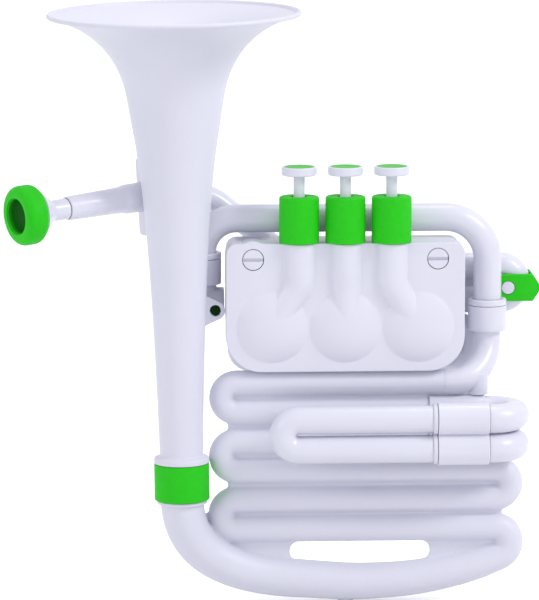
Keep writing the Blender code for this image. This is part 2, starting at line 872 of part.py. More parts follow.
def connector_path(z):
    return rounded_path([(crook_socket_left_x, crook_y, z), (connector_right_x, crook_y, z),
                         (connector_right_x, serpentine_y, z), (connector_back_left_x, serpentine_y, z)],
                        [(serpentine_y - crook_y) / 2] * 2)


def build_crook_connector():
    run = path_length(connector_path(0.0))
    front = crook_socket_right_x - crook_socket_left_x
    back = run - (crook_socket_right_x - connector_back_left_x)
    rounding = socket_rounding
    outer = [(0.0, crook_socket_radius - rounding), (rounding, crook_socket_radius),
             (front, crook_socket_radius), (front + rounding, connector_tube_radius),
             (back - rounding, connector_tube_radius), (back, connector_back_socket_radius),
             (run, connector_back_socket_radius)]
    mouth = clear_of(crook_radius, slide_gap, socket_sides)
    seat = crook_insert + joint_gap
    back_mouth = clear_of(pass_radius_first, slide_gap, socket_sides)
    back_seat = run - (spigot_end_x - connector_back_left_x) - joint_gap
    bore = [(0.0, mouth), (seat, mouth), (seat + rounding, connector_bore),
            (back_seat - rounding, connector_bore), (back_seat, back_mouth), (run, back_mouth)]
    shape = swept("crook_connector", connector_path(pass_z(2)), outer, socket_sides)
    join(shape, swept("crook_connector_lower", connector_path(pass_z(3)), outer, socket_sides))
    for number in (2, 3):
        cut(shape, bore_along(f"connector_bore_{number}", connector_path(pass_z(number)), bore, socket_sides))
    as_part(meshed_as_manifold(shape), "crook_connector", white)


# Leadpipe, bracket and mouthpiece

leadpipe_heading = Vector((math.cos(leadpipe_yaw) * math.cos(leadpipe_pitch),
                           math.sin(leadpipe_yaw) * math.cos(leadpipe_pitch), math.sin(leadpipe_pitch)))
knee_from_bell = (bell_radius(leadpipe_knee_z - bell_base_z) + leadpipe_radius + bracket_bridge) / \
    math.cos(leadpipe_yaw)
leadpipe_knee = Vector((bell_base.x - leadpipe_knee_lead, bell_base_y + knee_from_bell, leadpipe_knee_z))
receiver_mouth = leadpipe_knee - leadpipe_heading * receiver_length
mouthpiece_frame = axis_matrix(receiver_mouth, -leadpipe_heading)


def build_leadpipe():
    slope_run = leadpipe_drop_z - rear_upper_z
    path = rounded_path([receiver_mouth, leadpipe_knee, (leadpipe_drop_x, rear_tube_y, leadpipe_drop_z),
                         (leadpipe_drop_x + slope_run * leadpipe_drop_run, rear_tube_y, rear_upper_z),
                         (rear_upper_start_x + leadpipe_insert, rear_tube_y, rear_upper_z)],
                        [leadpipe_bend] * 3, corner_step)
    outer = [(0.0, receiver_radius), (shoulder_start, receiver_radius),
             (shoulder_start + shoulder_ramp, shoulder_radius),
             (shoulder_end - shoulder_ramp, shoulder_radius),
             (shoulder_end, leadpipe_radius), (path_length(path), leadpipe_radius)]
    bore = stepped(clear_of(shank_radius, slide_gap, tube_sides), shank_insert + joint_gap, leadpipe_bore)
    as_part(pipe("leadpipe", path, outer, bore), "leadpipe", white)


def build_leadpipe_bracket():
    """A round-ended plate across the leadpipe, scooped out where it seats on the bell."""
    centre = receiver_mouth + leadpipe_heading * (shoulder_end + joint_gap)
    frame = Matrix.Translation(centre) @ Matrix.Rotation(leadpipe_yaw, 4, "Z") @ \
        Matrix.Rotation(-leadpipe_pitch, 4, "Y") @ Matrix.Rotation(quarter_turn, 4, "Z")
    half_width, half_height, end = bracket_width / 2, bracket_height / 2, bracket_corner
    outline = rounded_outline([(-half_width, half_height, end), (half_width, half_height, end),
                               (half_width, -half_height, end), (-half_width, -half_height, end)])
    shape = plate("leadpipe_bracket", outline, -bracket_thickness, bracket_thickness)
    shape.matrix_world = frame @ shape.matrix_world
    hole_frame = axis_matrix(centre - leadpipe_heading * bracket_thickness, leadpipe_heading)
    hole = cylinder("bracket_hole", hole_frame, leadpipe_radius + joint_gap, bracket_thickness * 3)
    cut(shape, hole, bell_clearance("bracket_scoop"))
    as_part(shape, "leadpipe_bracket", white)


def bell_clearance(name):
    """A turned cutter that follows the bell's outside with the joint gap."""
    side = [(bell_radius(height) + joint_gap, height) for height in bell_heights()]
    return applied(turned(name, [(0.0, side[0][1]), *side, (0.0, side[-1][1])], bell_frame, bell_steps))


def build_mouthpiece():
    back = cup_back - joint_gap
    spigot = back + cup_spigot_length
    spigot_radius = neck_radius - joint_gap
    profile = [(mouthpiece_bore, spigot), (spigot_radius, spigot), (spigot_radius, back), (cone_radius, back)]
    steps = 5
    for i in range(1, steps + 1):
        share = i / steps
        profile.append((neck_radius + (cone_radius - neck_radius) * (1 - share) ** 2,
                        back - (back - cone_start) * share))
    profile += [(neck_radius, joint_gap), (shank_radius, joint_gap),
                (shank_radius - shank_taper, -shank_insert), (mouthpiece_bore, -shank_insert)]
    shape = turned("mouthpiece", profile, mouthpiece_frame, small_turn_steps, closed=True)
    as_part(shape, "mouthpiece", white)


def build_mouthpiece_rim():
    front, back = cup_back + cup_length, cup_back
    floor = front - cup_depth
    spigot = cup_back - joint_gap + cup_spigot_length + joint_gap
    profile = [(cup_hole_radius, front), (cup_radius - cup_edge, front)]
    steps = 3
    for i in range(1, steps + 1):
        angle = quarter_turn * i / steps
        profile.append((cup_radius - cup_edge + cup_edge * math.sin(angle),
                        front - cup_edge + cup_edge * math.cos(angle)))
    profile += [(cup_radius, back + cup_back_edge), (cup_radius - cup_back_chamfer, back + cup_back_chamfer),
                (cup_radius - cup_back_edge, back), (neck_radius, back), (neck_radius, spigot),
                (mouthpiece_bore, spigot), (mouthpiece_bore, floor)]
    steps = 4
    for i in range(1, steps + 1):
        angle = quarter_turn * i / steps
        profile.append((mouthpiece_bore + (cup_hole_radius - mouthpiece_bore) * math.sin(angle),
                        front - cup_step - (cup_depth - cup_step) * math.cos(angle)))
    as_part(turned("mouthpiece_rim", profile, mouthpiece_frame, turn_steps, closed=True),
            "mouthpiece_rim", green)


# Rear tubing and water key

def build_rear_tubes():
    y, high, low = rear_tube_y, rear_upper_z, rear_lower_z
    upper = [Vector((rear_upper_start_x, y, high)), Vector((rear_seam_x - joint_gap, y, high))]
    upper_bore = stepped(clear_of(leadpipe_radius, joint_gap, socket_sides), leadpipe_insert + joint_gap,
                         rear_bore)
    as_part(pipe("rear_upper_tube", upper, rear_radius, upper_bore, sides=socket_sides),
            "rear_upper_tube", white)
    inlet = rounded_path([(rear_seam_x - joint_gap, y, low), (inlet_x, y, low),
                          (inlet_x, housing_back_y + joint_gap, low)], [inlet_bend], corner_step)
    as_part(pipe("inlet_elbow", inlet, rear_radius, rear_bore), "inlet_elbow", white)

    turn = (high - low) / 2
    bow = rounded_path([(rear_seam_x, y, high), (rear_bow_x + turn, y, high), (rear_bow_x + turn, y, low),
                        (rear_seam_x, y, low)], [turn] * 2, corner_step)
    arm_out = rear_radius + key_arm_gap + key_arm_thickness
    bosses = []
    for side in (-1, 1):
        bosses.append(cylinder(f"key_boss_{side}", along_y(key_pivot_x, y + side * arm_out - (side > 0) *
                               key_boss_length, key_pivot_z), key_boss_radius, key_boss_length,
                               small_turn_steps))
    drain = cylinder("drain_hole", axis_matrix((rear_bow_x + turn, y, (high + low) / 2), (1, 0, 0)),
                     drain_hole_radius, rear_radius * 2, small_turn_steps)
    as_part(cut(pipe("water_key_bow", bow, rear_radius, rear_bore, bosses), drain), "water_key_bow", white)


def build_water_key_strap():
    """A fork that snaps over the bow's bosses, with a pad that closes the drain hole."""
    turn = (rear_upper_z - rear_lower_z) / 2
    centre_z = (rear_upper_z + rear_lower_z) / 2
    pad_inner = turn + rear_radius + key_pad_gap
    right = rear_bow_x + pad_inner + key_pad_thickness
    low, high = centre_z - key_arm_half_height, centre_z + key_arm_half_height
    outline = [(key_arm_left_x, low), (right - key_pad_chamfer, low),
               (right, low + key_pad_chamfer_height), (right, high - key_pad_chamfer_height),
               (right - key_pad_chamfer, high), (key_arm_left_x, high)]
    arm_in = rear_radius + key_arm_gap
    half_depth = arm_in + key_arm_thickness
    shape = plate("water_key_strap", outline, rear_tube_y - half_depth, half_depth * 2)
    hollow = cylinder("strap_hollow", along_y(rear_bow_x, rear_tube_y - arm_in, centre_z), pad_inner,
                      arm_in * 2)
    pin_hole = cylinder("strap_pin_hole", along_y(key_pivot_x, rear_tube_y - half_depth * 2, key_pivot_z),
                        key_boss_radius + joint_gap, half_depth * 4, small_turn_steps)
    strap = applied(cut(shape, hollow, pin_hole))
    strap.data.transform(Matrix.Translation((-key_pivot_x, -rear_tube_y, -key_pivot_z)) @ strap.matrix_world)
    strap.matrix_world = Matrix.Translation((key_pivot_x, rear_tube_y, key_pivot_z))
    as_part(strap, "water_key_strap", green)


def build_valve_loop():
    y, high, low = rear_tube_y, loop_upper_z, loop_lower_z
    turn = (high - low) / 2
    left, right = loop_left_x - turn, loop_right_x
    seat = housing_back_y + joint_gap
    path = rounded_path([(loop_port_left_x, seat, high), (loop_port_left_x, y, high), (left, y, high),
                         (left, y, low), (right, y, low), (right, y, high), (loop_port_right_x, y, high),
                         (loop_port_right_x, seat, high)],
                        [loop_bend, turn, turn, turn, turn, loop_bend], bore_bend_step)
    shape = swept("valve_loop", path, loop_radius)
    as_part(cut(shape, bore_along("valve_loop_bore", path, loop_bore, bore_sides)), "valve_loop", white)


# Valve cover and housing

def panel_outline(inset):
    """The outline that cover and housing share, drawn in by an inset."""
    half, top, bottom = cover_half_width - inset, cover_top_z - inset, cover_bottom_z + inset
    upper, lower = cover_top_corner - inset, cover_bottom_corner - inset
    return rounded_outline([(-half, top, upper), (half, top, upper), (half, bottom, lower),
                            (-half, bottom, lower)])


def chamber_x(valve):
    return (valve - 2) * dome_pitch


def stem_x(valve):
    return (valve - 2) * valve_pitch


def channel_path(valve):
    """The line of a plunger channel, which bends towards its dome below the guide cap."""
    x, target = stem_x(valve), chamber_x(valve)
    heading = Vector((target - x, 0.0, dome_z - channel_bend_z))
    tip = Vector((x, valve_axis_y, channel_bend_z)) + heading * (1 - channel_tip / heading.length)
    return rounded_path([(x, valve_axis_y, cover_top_z), (x, valve_axis_y, channel_bend_z), tip],
                        [channel_bend], corner_step)


def dome(name, valve, radius, height, base_y, reach, steps_round=turn_steps):
    """A shallow spherical cap that stands proud of the face towards -Y."""
    sphere = (radius ** 2 + height ** 2) / (2 * height)
    widest = math.acos((sphere - height - reach) / sphere)
    steps = 3
    cap = [(sphere * math.sin(widest * i / steps), height - sphere * (1 - math.cos(widest * i / steps)))
           for i in range(steps + 1)]
    frame = axis_matrix((chamber_x(valve), base_y, dome_z), (0, -1, 0))
    return applied(turned(name, [*cap, (0.0, -reach)], frame, steps_round))


def build_cover():
    shape = plate("valve_cover", panel_outline(0.0), 0.0, cover_depth)
    lug = cylinder("lock_lug", along_y(-lock_x, 0.0, lock_z), lock_lug_radius, cover_wall)
    join(shape, lug)
    for valve in (1, 2, 3):
        run = path_length(channel_path(valve))
        channel = [(0.0, channel_radius), (run - channel_tip_taper, channel_radius),
                   (run, channel_tip_radius)]
        ring_frame = Matrix.Translation((stem_x(valve), valve_axis_y, cover_top_z))
        outer = cap_radius - cap_wall - joint_gap
        ring = [(outer - neck_ring_wall, neck_ring_height), (outer, neck_ring_height),
                (outer, -cover_wall / 2), (outer - neck_ring_wall, -cover_wall / 2)]
        join(shape, swept(f"channel_{valve}", channel_path(valve), channel),
             dome(f"dome_{valve}", valve, dome_radius, dome_height, 0.0, cover_wall / 2),
             applied(turned(f"neck_ring_{valve}", ring, ring_frame, small_turn_steps, closed=True)))
    for side in (-1, 1):
        join(shape, cylinder(f"lock_boss_{side}", along_y(side * lock_x, cover_wall / 2, lock_z),
                             lock_boss_radius + cover_wall / 2, lock_floor_y - cover_wall / 2))

    inner = plate("cover_hollow", panel_outline(cover_wall), cover_wall, cover_depth)
    for side in (-1, 1):
        cut(inner, cylinder(f"lock_boss_clear_{side}", along_y(side * lock_x, 0.0, lock_z),
                            lock_boss_radius + cover_wall / 2, lock_floor_y))
    cut(shape, applied(meshed_as_manifold(inner)))
    for valve in (1, 2, 3):
        path = channel_path(valve)
        path[0] = path[0] - Vector((0.0, 0.0, cover_wall))
        cut(shape, swept(f"channel_hollow_{valve}", path, channel_radius - channel_wall, bore_sides),
            dome(f"dome_hollow_{valve}", valve, dome_radius - cover_wall, dome_height, cover_wall,
                 cover_wall / 2, small_turn_steps))
    for valve in (1, 2, 3):
        hole_frame = Matrix.Translation((stem_x(valve), valve_axis_y, cover_top_z - cover_wall * 2))
        cut(shape, cylinder(f"rod_hole_{valve}", hole_frame, rod_radius + slide_gap, cover_wall * 4,
                            small_turn_steps))
    for side in (-1, 1):
        cut(shape, cylinder(f"lock_recess_{side}", along_y(side * lock_x, -cover_wall, lock_z),
                            lock_radius, cover_wall + lock_head_depth),
            cylinder(f"lock_hole_{side}", along_y(side * lock_x, 0.0, lock_z),
                     lock_shaft_radius + joint_gap, lock_floor_y * 2, small_turn_steps))
    as_part(meshed_as_manifold(shape), "valve_cover", white)


chamber_bore = clear_of(rotor_radius, joint_gap, turn_steps)


def build_housing():
    front = cover_depth + joint_gap
    depth = housing_back_y - front
    floor = housing_back_y - housing_wall
    shape = plate("valve_housing", panel_outline(0.0), front, depth)
    cut(shape, plate("housing_hollow", panel_outline(housing_wall), front - housing_wall,
                     floor - front + housing_wall))
    for valve in (1, 2, 3):
        join(shape, cylinder(f"chamber_{valve}", along_y(chamber_x(valve), front, dome_z),
                             chamber_bore + chamber_wall, depth - housing_wall / 2))
    conduit_run = conduit_end_x + cover_half_width
    join(shape, cylinder("conduit", axis_matrix((-cover_half_width, conduit_y, elbow_z), (1, 0, 0)),
                         conduit_radius, conduit_run))
    for side in (-1, 1):
        join(shape, cylinder(f"cam_boss_{side}", along_y(side * lock_x, front, lock_z), lock_boss_radius,
                             depth - housing_wall / 2))
    for valve in (1, 2, 3):
        chamber_floor = rotor_back_y + joint_gap - front
        cut(shape, cylinder(f"chamber_bore_{valve}", along_y(chamber_x(valve), front - housing_wall, dome_z),
                            chamber_bore, chamber_floor + housing_wall),
            cylinder(f"spindle_bore_{valve}", along_y(chamber_x(valve), front, dome_z),
                     rotor_spindle_radius + joint_gap, depth + housing_wall, small_turn_steps))
    bore_start = axis_matrix((-cover_half_width - bore_overrun, conduit_y, elbow_z), (1, 0, 0))
    cut(shape, cylinder("conduit_bore", bore_start, conduit_bore, conduit_run + bore_overrun))
    for side in (-1, 1):
        x = side * lock_x
        cut(shape, cylinder(f"cam_cavity_{side}", along_y(x, cam_cavity_y, lock_z),
                            lock_cam_length / 2 + joint_gap * 2, lock_cam_thickness + joint_gap * 4),
            block(f"cam_slot_{side}",
                  (x - lock_cam_length / 2 - joint_gap * 2, front - cover_wall,
                   lock_z - lock_shaft_radius - joint_gap),
                  (x + lock_cam_length / 2 + joint_gap * 2, cam_cavity_y + lock_cam_thickness / 2,
                   lock_z + lock_shaft_radius + joint_gap)))
    as_part(meshed_as_manifold(shape), "valve_housing", white)


def build_lock(name, side):
    """A coin-slot lock: a head in the cover's recess and a cam behind the housing's keyhole."""
    x = side * lock_x
    head = cylinder(name, Matrix(), lock_radius - joint_gap, lock_head_depth - joint_gap)
    shaft_end = cam_cavity_y + joint_gap + lock_cam_thickness
    join(head, cylinder(name + "_shaft", Matrix.Translation((0, 0, lock_head_depth / 2)), lock_shaft_radius,
                        shaft_end - lock_head_depth / 2, small_turn_steps),
         block(name + "_cam", (-lock_cam_width / 2, -lock_cam_length / 2, cam_cavity_y + joint_gap),
               (lock_cam_width / 2, lock_cam_length / 2, shaft_end)))
    cut(head, block(name + "_slot", (-lock_radius, -lock_slot_width / 2, -lock_slot_depth),
                    (lock_radius, lock_slot_width / 2, lock_slot_depth)))
    lock = applied(head)
    lock.matrix_world = along_y(x, 0.0, lock_z)
    as_part(lock, name, white)


# Valves

def stem_frame(valve, z):
    return Matrix.Translation((stem_x(valve), valve_axis_y, z))


cap_bottom_z = cover_top_z + joint_gap
cap_top_z = cap_bottom_z + cap_height
button_bottom_z = cap_top_z + valve_travel + button_gap
crank_rise = valve_travel / 2


def build_guide_cap(valve):
    edge = cap_edge
    profile = [(cap_mouth_radius, cap_height), (cap_radius - edge, cap_height),
               (cap_radius, cap_height - edge), (cap_radius, 0.0), (cap_radius - cap_wall, 0.0),
               (cap_radius - cap_wall, cap_height - cap_top_wall),
               (stem_radius + slide_gap, cap_height - cap_top_wall),
               (stem_radius + slide_gap, cap_height - cap_mouth_depth),
               (cap_mouth_radius, cap_height - cap_mouth_depth)]
    as_part(turned("guide_cap", profile, stem_frame(valve, cap_bottom_z), closed=True),
            f"guide_cap_{valve}", green)


def build_button(valve):
    """A finger button with a shallow recess for its inlay and a blind hole for the stem."""
    edge, top = button_edge, button_thickness
    recess = inlay_radius + joint_gap
    floor = top - inlay_depth - joint_gap
    hole = floor - button_skin
    profile = [(0.0, floor), (recess, floor), (recess, top), (button_radius - edge, top),
               (button_radius, top - edge), (button_radius, edge), (button_radius - edge, 0.0),
               (stem_radius + joint_gap, 0.0), (stem_radius + joint_gap, hole), (0.0, hole)]
    as_part(turned("button", profile, stem_frame(valve, button_bottom_z)), f"finger_button_{valve}", white)
    inlay = [(0.0, top - inlay_dish), (inlay_dish_radius, top - inlay_dish), (inlay_radius, top),
             (inlay_radius, floor + joint_gap), (0.0, floor + joint_gap)]
    as_part(turned("inlay", inlay, stem_frame(valve, button_bottom_z)), f"button_inlay_{valve}", green)


def build_plunger(valve):
    """Stem, guide head, rod and slotted yoke in one piece; the yoke drives the rotor's crank pin."""
    head_top = cap_top_z - cap_top_wall - joint_gap
    head_bottom = head_top - head_height
    stem_top = button_bottom_z + button_thickness - inlay_depth - joint_gap * 2 - button_skin
    neck_inner = cap_radius - cap_wall - joint_gap - neck_ring_wall
    head_radius = neck_inner - slide_gap
    profile = [(0.0, stem_top), (stem_radius, stem_top), (stem_radius, head_top), (head_radius, head_top),
               (head_radius, head_bottom), (rod_radius, head_bottom), (rod_radius, rod_end_z),
               (0.0, rod_end_z)]
    shape = turned("plunger", profile, stem_frame(valve, 0.0), small_turn_steps)
    x, side = stem_x(valve), -1 if valve == 3 else 1
    centre = chamber_x(valve)
    level = dome_z + crank_rise
    inner_x = centre + side * crank_radius * math.cos(crank_swing / 2)
    outer_x = centre + side * crank_radius
    room = crank_pin_radius + yoke_clearance
    near, far = sorted((inner_x - side * room, outer_x + side * room))
    low, high = level - room, level + room
    reach = yoke_frame
    frame_left, frame_right = min(near - reach, x), max(far + reach, x)
    back = yoke_front_y + yoke_thickness
    bar = block(f"yoke_bar_{valve}", (x - yoke_bar_width / 2, yoke_front_y, low - reach),
                (x + yoke_bar_width / 2, back, rod_end_z + rod_radius))
    frame = block(f"yoke_frame_{valve}", (frame_left, yoke_front_y, low - reach),
                  (frame_right, back, high + reach))
    slot = block(f"yoke_slot_{valve}", (near, yoke_front_y - reach, low), (far, back + reach, high))
    plunger = applied(cut(join(applied(shape), join_solid(bar, frame)), slot))
    as_part(plunger, f"valve_plunger_{valve}", white)


def join_solid(first, second):
    return applied(join(first, second))


def build_spring(valve):
    """A return spring wound between the guide head and the cover's top."""
    bottom = cover_top_z + joint_gap + spring_wire
    head_top = cap_top_z - cap_top_wall - joint_gap
    top = head_top - head_height - joint_gap - spring_wire
    per_turn = 8
    count = spring_turns * per_turn
    path = []
    for i in range(count + 1):
        angle = 2 * math.pi * i / per_turn
        height = bottom + (top - bottom) * i / count
        path.append(Vector((stem_x(valve) + spring_radius * math.cos(angle),
                            valve_axis_y + spring_radius * math.sin(angle), height)))
    as_part(swept("spring", path, spring_wire, 4), f"return_spring_{valve}", steel)
    return (top - bottom) / spring_turns - 2 * spring_wire


def build_rotor(valve):
    """A rotor with two side passages, a crank pin in front and a spindle behind."""
    side = -1 if valve == 3 else 1
    x = chamber_x(valve)
    frame = along_y(x, rotor_front_y, dome_z)
    body = cylinder("rotor", frame, rotor_radius, rotor_back_y - rotor_front_y)
    start = crank_swing / 2
    pin_x = x + side * crank_radius * math.cos(start)
    pin_z = dome_z + crank_radius * math.sin(start)
    join(body, cylinder("crank_pin", along_y(pin_x, yoke_front_y, pin_z), crank_pin_radius,
                        rotor_front_y - yoke_front_y + housing_wall, small_turn_steps),
         cylinder("spindle", along_y(x, rotor_back_y - housing_wall, dome_z), rotor_spindle_radius,
                  housing_back_y - rotor_back_y + housing_wall, small_turn_steps))
    depth = (rotor_back_y - rotor_front_y) / 2
    passage_y = rotor_front_y + depth / 2 + housing_wall / 2
    for end in (-1, 1):
        passage_frame = along_y(x + end * rotor_passage_x, passage_y, dome_z)
        cut(body, cylinder(f"passage_{end}", passage_frame, rotor_passage_radius, depth, small_turn_steps))
    rotor = applied(body)
    rotor.data.transform(Matrix.Translation((-x, -rotor_front_y, -dome_z)) @ rotor.matrix_world)
    rotor.matrix_world = Matrix.Translation((x, rotor_front_y, dome_z))
    as_part(rotor, f"valve_rotor_{valve}", white)


# Brace between bell and housing

def build_brace():
    left = bell_base.x
    right = -cover_half_width - joint_gap
    tip_x = brace_hole_x
    waist = brace_hole_x - brace_waist
    outline = [(left, brace_z + brace_half_base), (waist, brace_z + brace_half_base)]
    for i in range(brace_tip_points):
        angle = brace_tip_swing * (1 - 2 * i / (brace_tip_points - 1))
        x = min(tip_x + brace_tip_radius * math.cos(angle), right)
        outline.append((x, brace_z + brace_tip_radius * math.sin(angle)))
    outline += [(waist, brace_z - brace_half_base), (left, brace_z - brace_half_base)]
    shape = plate("bell_brace", outline, brace_y - brace_thickness / 2, brace_thickness)
    hole = cylinder("brace_hole", along_y(brace_hole_x, brace_y - brace_thickness, brace_z),
                    brace_hole_radius, brace_thickness * 2, small_turn_steps)
    cut(shape, bell_clearance("brace_scoop"), hole)
    as_part(shape, "bell_brace", white)
    bush_front = brace_y - brace_thickness / 2 + bush_recess
    bush = cylinder("brace_bush", along_y(brace_hole_x, bush_front, brace_z), brace_hole_radius - joint_gap,
                    brace_thickness - bush_recess, small_turn_steps)
    as_part(bush, "brace_bush", dark_green)


def build_horn():
    build_bell()
    build_collar_band()
    build_body()
    build_tuning_slide()
    build_right_socket()
    build_left_socket()
    build_socket_cap("right", slide_right_x, right_socket_top_z)
    build_socket_cap("left", slide_left_x, left_socket_top_z)
    build_crook_loop()
    build_crook_connector()
    build_leadpipe()
    build_leadpipe_bracket()
    build_mouthpiece()
    build_mouthpiece_rim()
    build_rear_tubes()
    build_water_key_strap()
    build_valve_loop()
    build_cover()
    build_housing()
    build_lock("cover_lock_left", -1)
    build_lock("cover_lock_right", 1)
    build_brace()
    for valve in (1, 2, 3):
        build_guide_cap(valve)
        build_button(valve)
        build_plunger(valve)
        build_rotor(valve)
        gap = build_spring(valve)
    print(f"Least gap between spring turns: {gap * 1000:.2f} mm")


build_horn()
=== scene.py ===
# Plastic horn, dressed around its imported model. Lengths are in millimetres until a piece is finished.
import json
import math

import bmesh
import bpy
from mathutils import Matrix, Vector

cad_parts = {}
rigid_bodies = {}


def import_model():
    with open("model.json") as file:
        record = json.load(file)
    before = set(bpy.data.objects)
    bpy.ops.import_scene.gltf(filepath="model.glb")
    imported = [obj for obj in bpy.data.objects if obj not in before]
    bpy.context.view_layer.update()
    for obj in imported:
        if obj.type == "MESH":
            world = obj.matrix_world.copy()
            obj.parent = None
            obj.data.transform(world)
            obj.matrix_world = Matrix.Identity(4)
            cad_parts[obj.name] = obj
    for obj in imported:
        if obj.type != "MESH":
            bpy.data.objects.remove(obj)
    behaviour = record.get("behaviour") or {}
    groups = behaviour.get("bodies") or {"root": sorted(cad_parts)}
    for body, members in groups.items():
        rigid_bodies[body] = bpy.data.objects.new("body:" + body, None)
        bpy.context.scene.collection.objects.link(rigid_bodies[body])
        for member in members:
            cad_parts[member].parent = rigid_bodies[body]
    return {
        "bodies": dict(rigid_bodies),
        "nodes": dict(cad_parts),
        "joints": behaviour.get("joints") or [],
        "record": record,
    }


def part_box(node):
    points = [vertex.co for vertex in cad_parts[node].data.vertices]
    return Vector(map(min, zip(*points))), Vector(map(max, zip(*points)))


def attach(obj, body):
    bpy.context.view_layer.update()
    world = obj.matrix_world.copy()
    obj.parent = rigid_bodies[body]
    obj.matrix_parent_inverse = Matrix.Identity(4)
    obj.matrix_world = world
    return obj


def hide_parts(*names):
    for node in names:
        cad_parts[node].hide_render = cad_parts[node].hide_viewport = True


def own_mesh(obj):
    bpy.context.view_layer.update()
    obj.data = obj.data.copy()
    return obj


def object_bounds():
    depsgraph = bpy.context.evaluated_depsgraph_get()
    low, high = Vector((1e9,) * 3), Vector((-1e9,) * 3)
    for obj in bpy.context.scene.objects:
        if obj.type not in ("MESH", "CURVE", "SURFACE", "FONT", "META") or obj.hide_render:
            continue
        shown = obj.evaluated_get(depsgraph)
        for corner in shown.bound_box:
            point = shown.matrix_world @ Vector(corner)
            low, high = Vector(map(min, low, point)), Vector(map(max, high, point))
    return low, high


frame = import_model()
cadBox = [list(corner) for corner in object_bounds()]
mm = 0.001
weld = 0.002
quarter = math.radians(90.0)
print("frame loaded:", len(frame["nodes"]), "nodes")


def placed(name, data):
    # an object that holds the given mesh, lamp or camera, in the scene
    thing = bpy.data.objects.new(name, data)
    bpy.context.scene.collection.objects.link(thing)
    return thing


def meshOf(bm, name):
    mesh = bpy.data.meshes.new(name)
    bm.to_mesh(mesh)
    bm.free()
    return mesh


# Camera at the photograph's angle

view = {"target": (-0.04580, 0.0, 0.04151), "distance": 3.0, "azimuth": -3.0, "elevation": 9.0, "lens": 300.0,
        "sensor": 36.0}


def placeCamera():
    azimuth, elevation = math.radians(view["azimuth"]), math.radians(view["elevation"])
    back = Vector((math.sin(azimuth) * math.cos(elevation), -math.cos(azimuth) * math.cos(elevation),
                   math.sin(elevation)))
    camera = placed("camera", bpy.data.cameras.new("camera"))
    camera.data.lens = view["lens"]
    camera.data.sensor_width = view["sensor"]
    camera.data.clip_start, camera.data.clip_end = 0.1, 50.0
    camera.location = Vector(view["target"]) + back * view["distance"]
    camera.rotation_euler = (-back).to_track_quat("-Z", "Y").to_euler()
    bpy.context.scene.camera = camera


placeCamera()


# Materials

def nodeGroup(name, inputs, outputs):
    # a shader node group with its own sockets, and its input and output nodes
    group = bpy.data.node_groups.new(name, "ShaderNodeTree")
    for label, kind, value in inputs:
        socket = group.interface.new_socket(label, in_out="INPUT", socket_type=kind)
        socket.default_value = value
    for label, kind in outputs:
        group.interface.new_socket(label, in_out="OUTPUT", socket_type=kind)
    return group, group.nodes.new("NodeGroupInput"), group.nodes.new("NodeGroupOutput")


def link(tree, source, target):
    # another node's output is linked to the socket, and a number or colour is set on it
    if isinstance(source, (int, float, tuple)):
        target.default_value = source
    else:
        tree.links.new(source, target)


def mathNode(tree, operation, first, second, clamp=False):
    # a Math node whose two inputs are sockets or numbers
    node = tree.nodes.new("ShaderNodeMath")
    node.operation, node.use_clamp = operation, clamp
    link(tree, first, node.inputs[0])
    link(tree, second, node.inputs[1])
    return node.outputs[0]


def mixColour(tree, factor, first, second):
    node = tree.nodes.new("ShaderNodeMix")
    node.data_type = "RGBA"
    for slot, value in ((0, factor), (6, first), (7, second)):
        link(tree, value, node.inputs[slot])
    return node.outputs[2]


def noiseNode(tree, scale, detail):
    # noise over the object's own coordinates
    node = tree.nodes.new("ShaderNodeTexNoise")
    link(tree, tree.nodes.new("ShaderNodeTexCoord").outputs["Object"], node.inputs["Vector"])
    link(tree, scale, node.inputs["Scale"])
    link(tree, detail, node.inputs["Detail"])
    return node.outputs["Fac"]


def buildMouldGrain():
    # fine spark-eroded mould texture, and the broad cloudiness of moulded plastic
    group, given, result = nodeGroup(
        "mouldGrain",
        [("Grain Scale", "NodeSocketFloat", 2200.0), ("Cloud Scale", "NodeSocketFloat", 28.0)],
        [("Height", "NodeSocketFloat"), ("Cloud", "NodeSocketFloat"), ("Speckle", "NodeSocketFloat")])
    fine = noiseNode(group, given.outputs["Grain Scale"], 2.0)
    coarse = noiseNode(group, mathNode(group, "MULTIPLY", given.outputs["Grain Scale"], 0.3), 2.0)
    link(group, mathNode(group, "ADD", mathNode(group, "MULTIPLY", fine, 0.6),
                         mathNode(group, "MULTIPLY", coarse, 0.4)), result.inputs["Height"])
    link(group, noiseNode(group, given.outputs["Cloud Scale"], 3.0), result.inputs["Cloud"])
    link(group, coarse, result.inputs["Speckle"])
    return group


def buildEdgeWear():
    # a mask that is 1 on worn outer edges and 0 elsewhere, broken up by noise
    group, given, result = nodeGroup(
        "edgeWear", [("Start", "NodeSocketFloat", 0.56), ("Width", "NodeSocketFloat", 0.12)],
        [("Mask", "NodeSocketFloat")])
    sharp = group.nodes.new("ShaderNodeNewGeometry").outputs["Pointiness"]
    rise = mathNode(group, "DIVIDE", mathNode(group, "SUBTRACT", sharp, given.outputs["Start"]),
                    given.outputs["Width"], True)
    broken = mathNode(group, "MULTIPLY", rise, noiseNode(group, 240.0, 3.0), True)
    link(group, broken, result.inputs["Mask"])
    return group


mouldGrain, edgeWear = buildMouldGrain(), buildEdgeWear()


def paintedCupShadow(tree, place, reach, fade):
    # painted shadow mask: 1 in the mouthpiece's cup, fading to 0 at its rim over a share of its reach
    away = tree.nodes.new("ShaderNodeVectorMath")
    away.operation = "DISTANCE"
    link(tree, tree.nodes.new("ShaderNodeTexCoord").outputs["Object"], away.inputs[0])
    link(tree, place, away.inputs[1])
    inside = mathNode(tree, "SUBTRACT", reach, away.outputs["Value"])
    return mathNode(tree, "DIVIDE", inside, reach * fade, True)


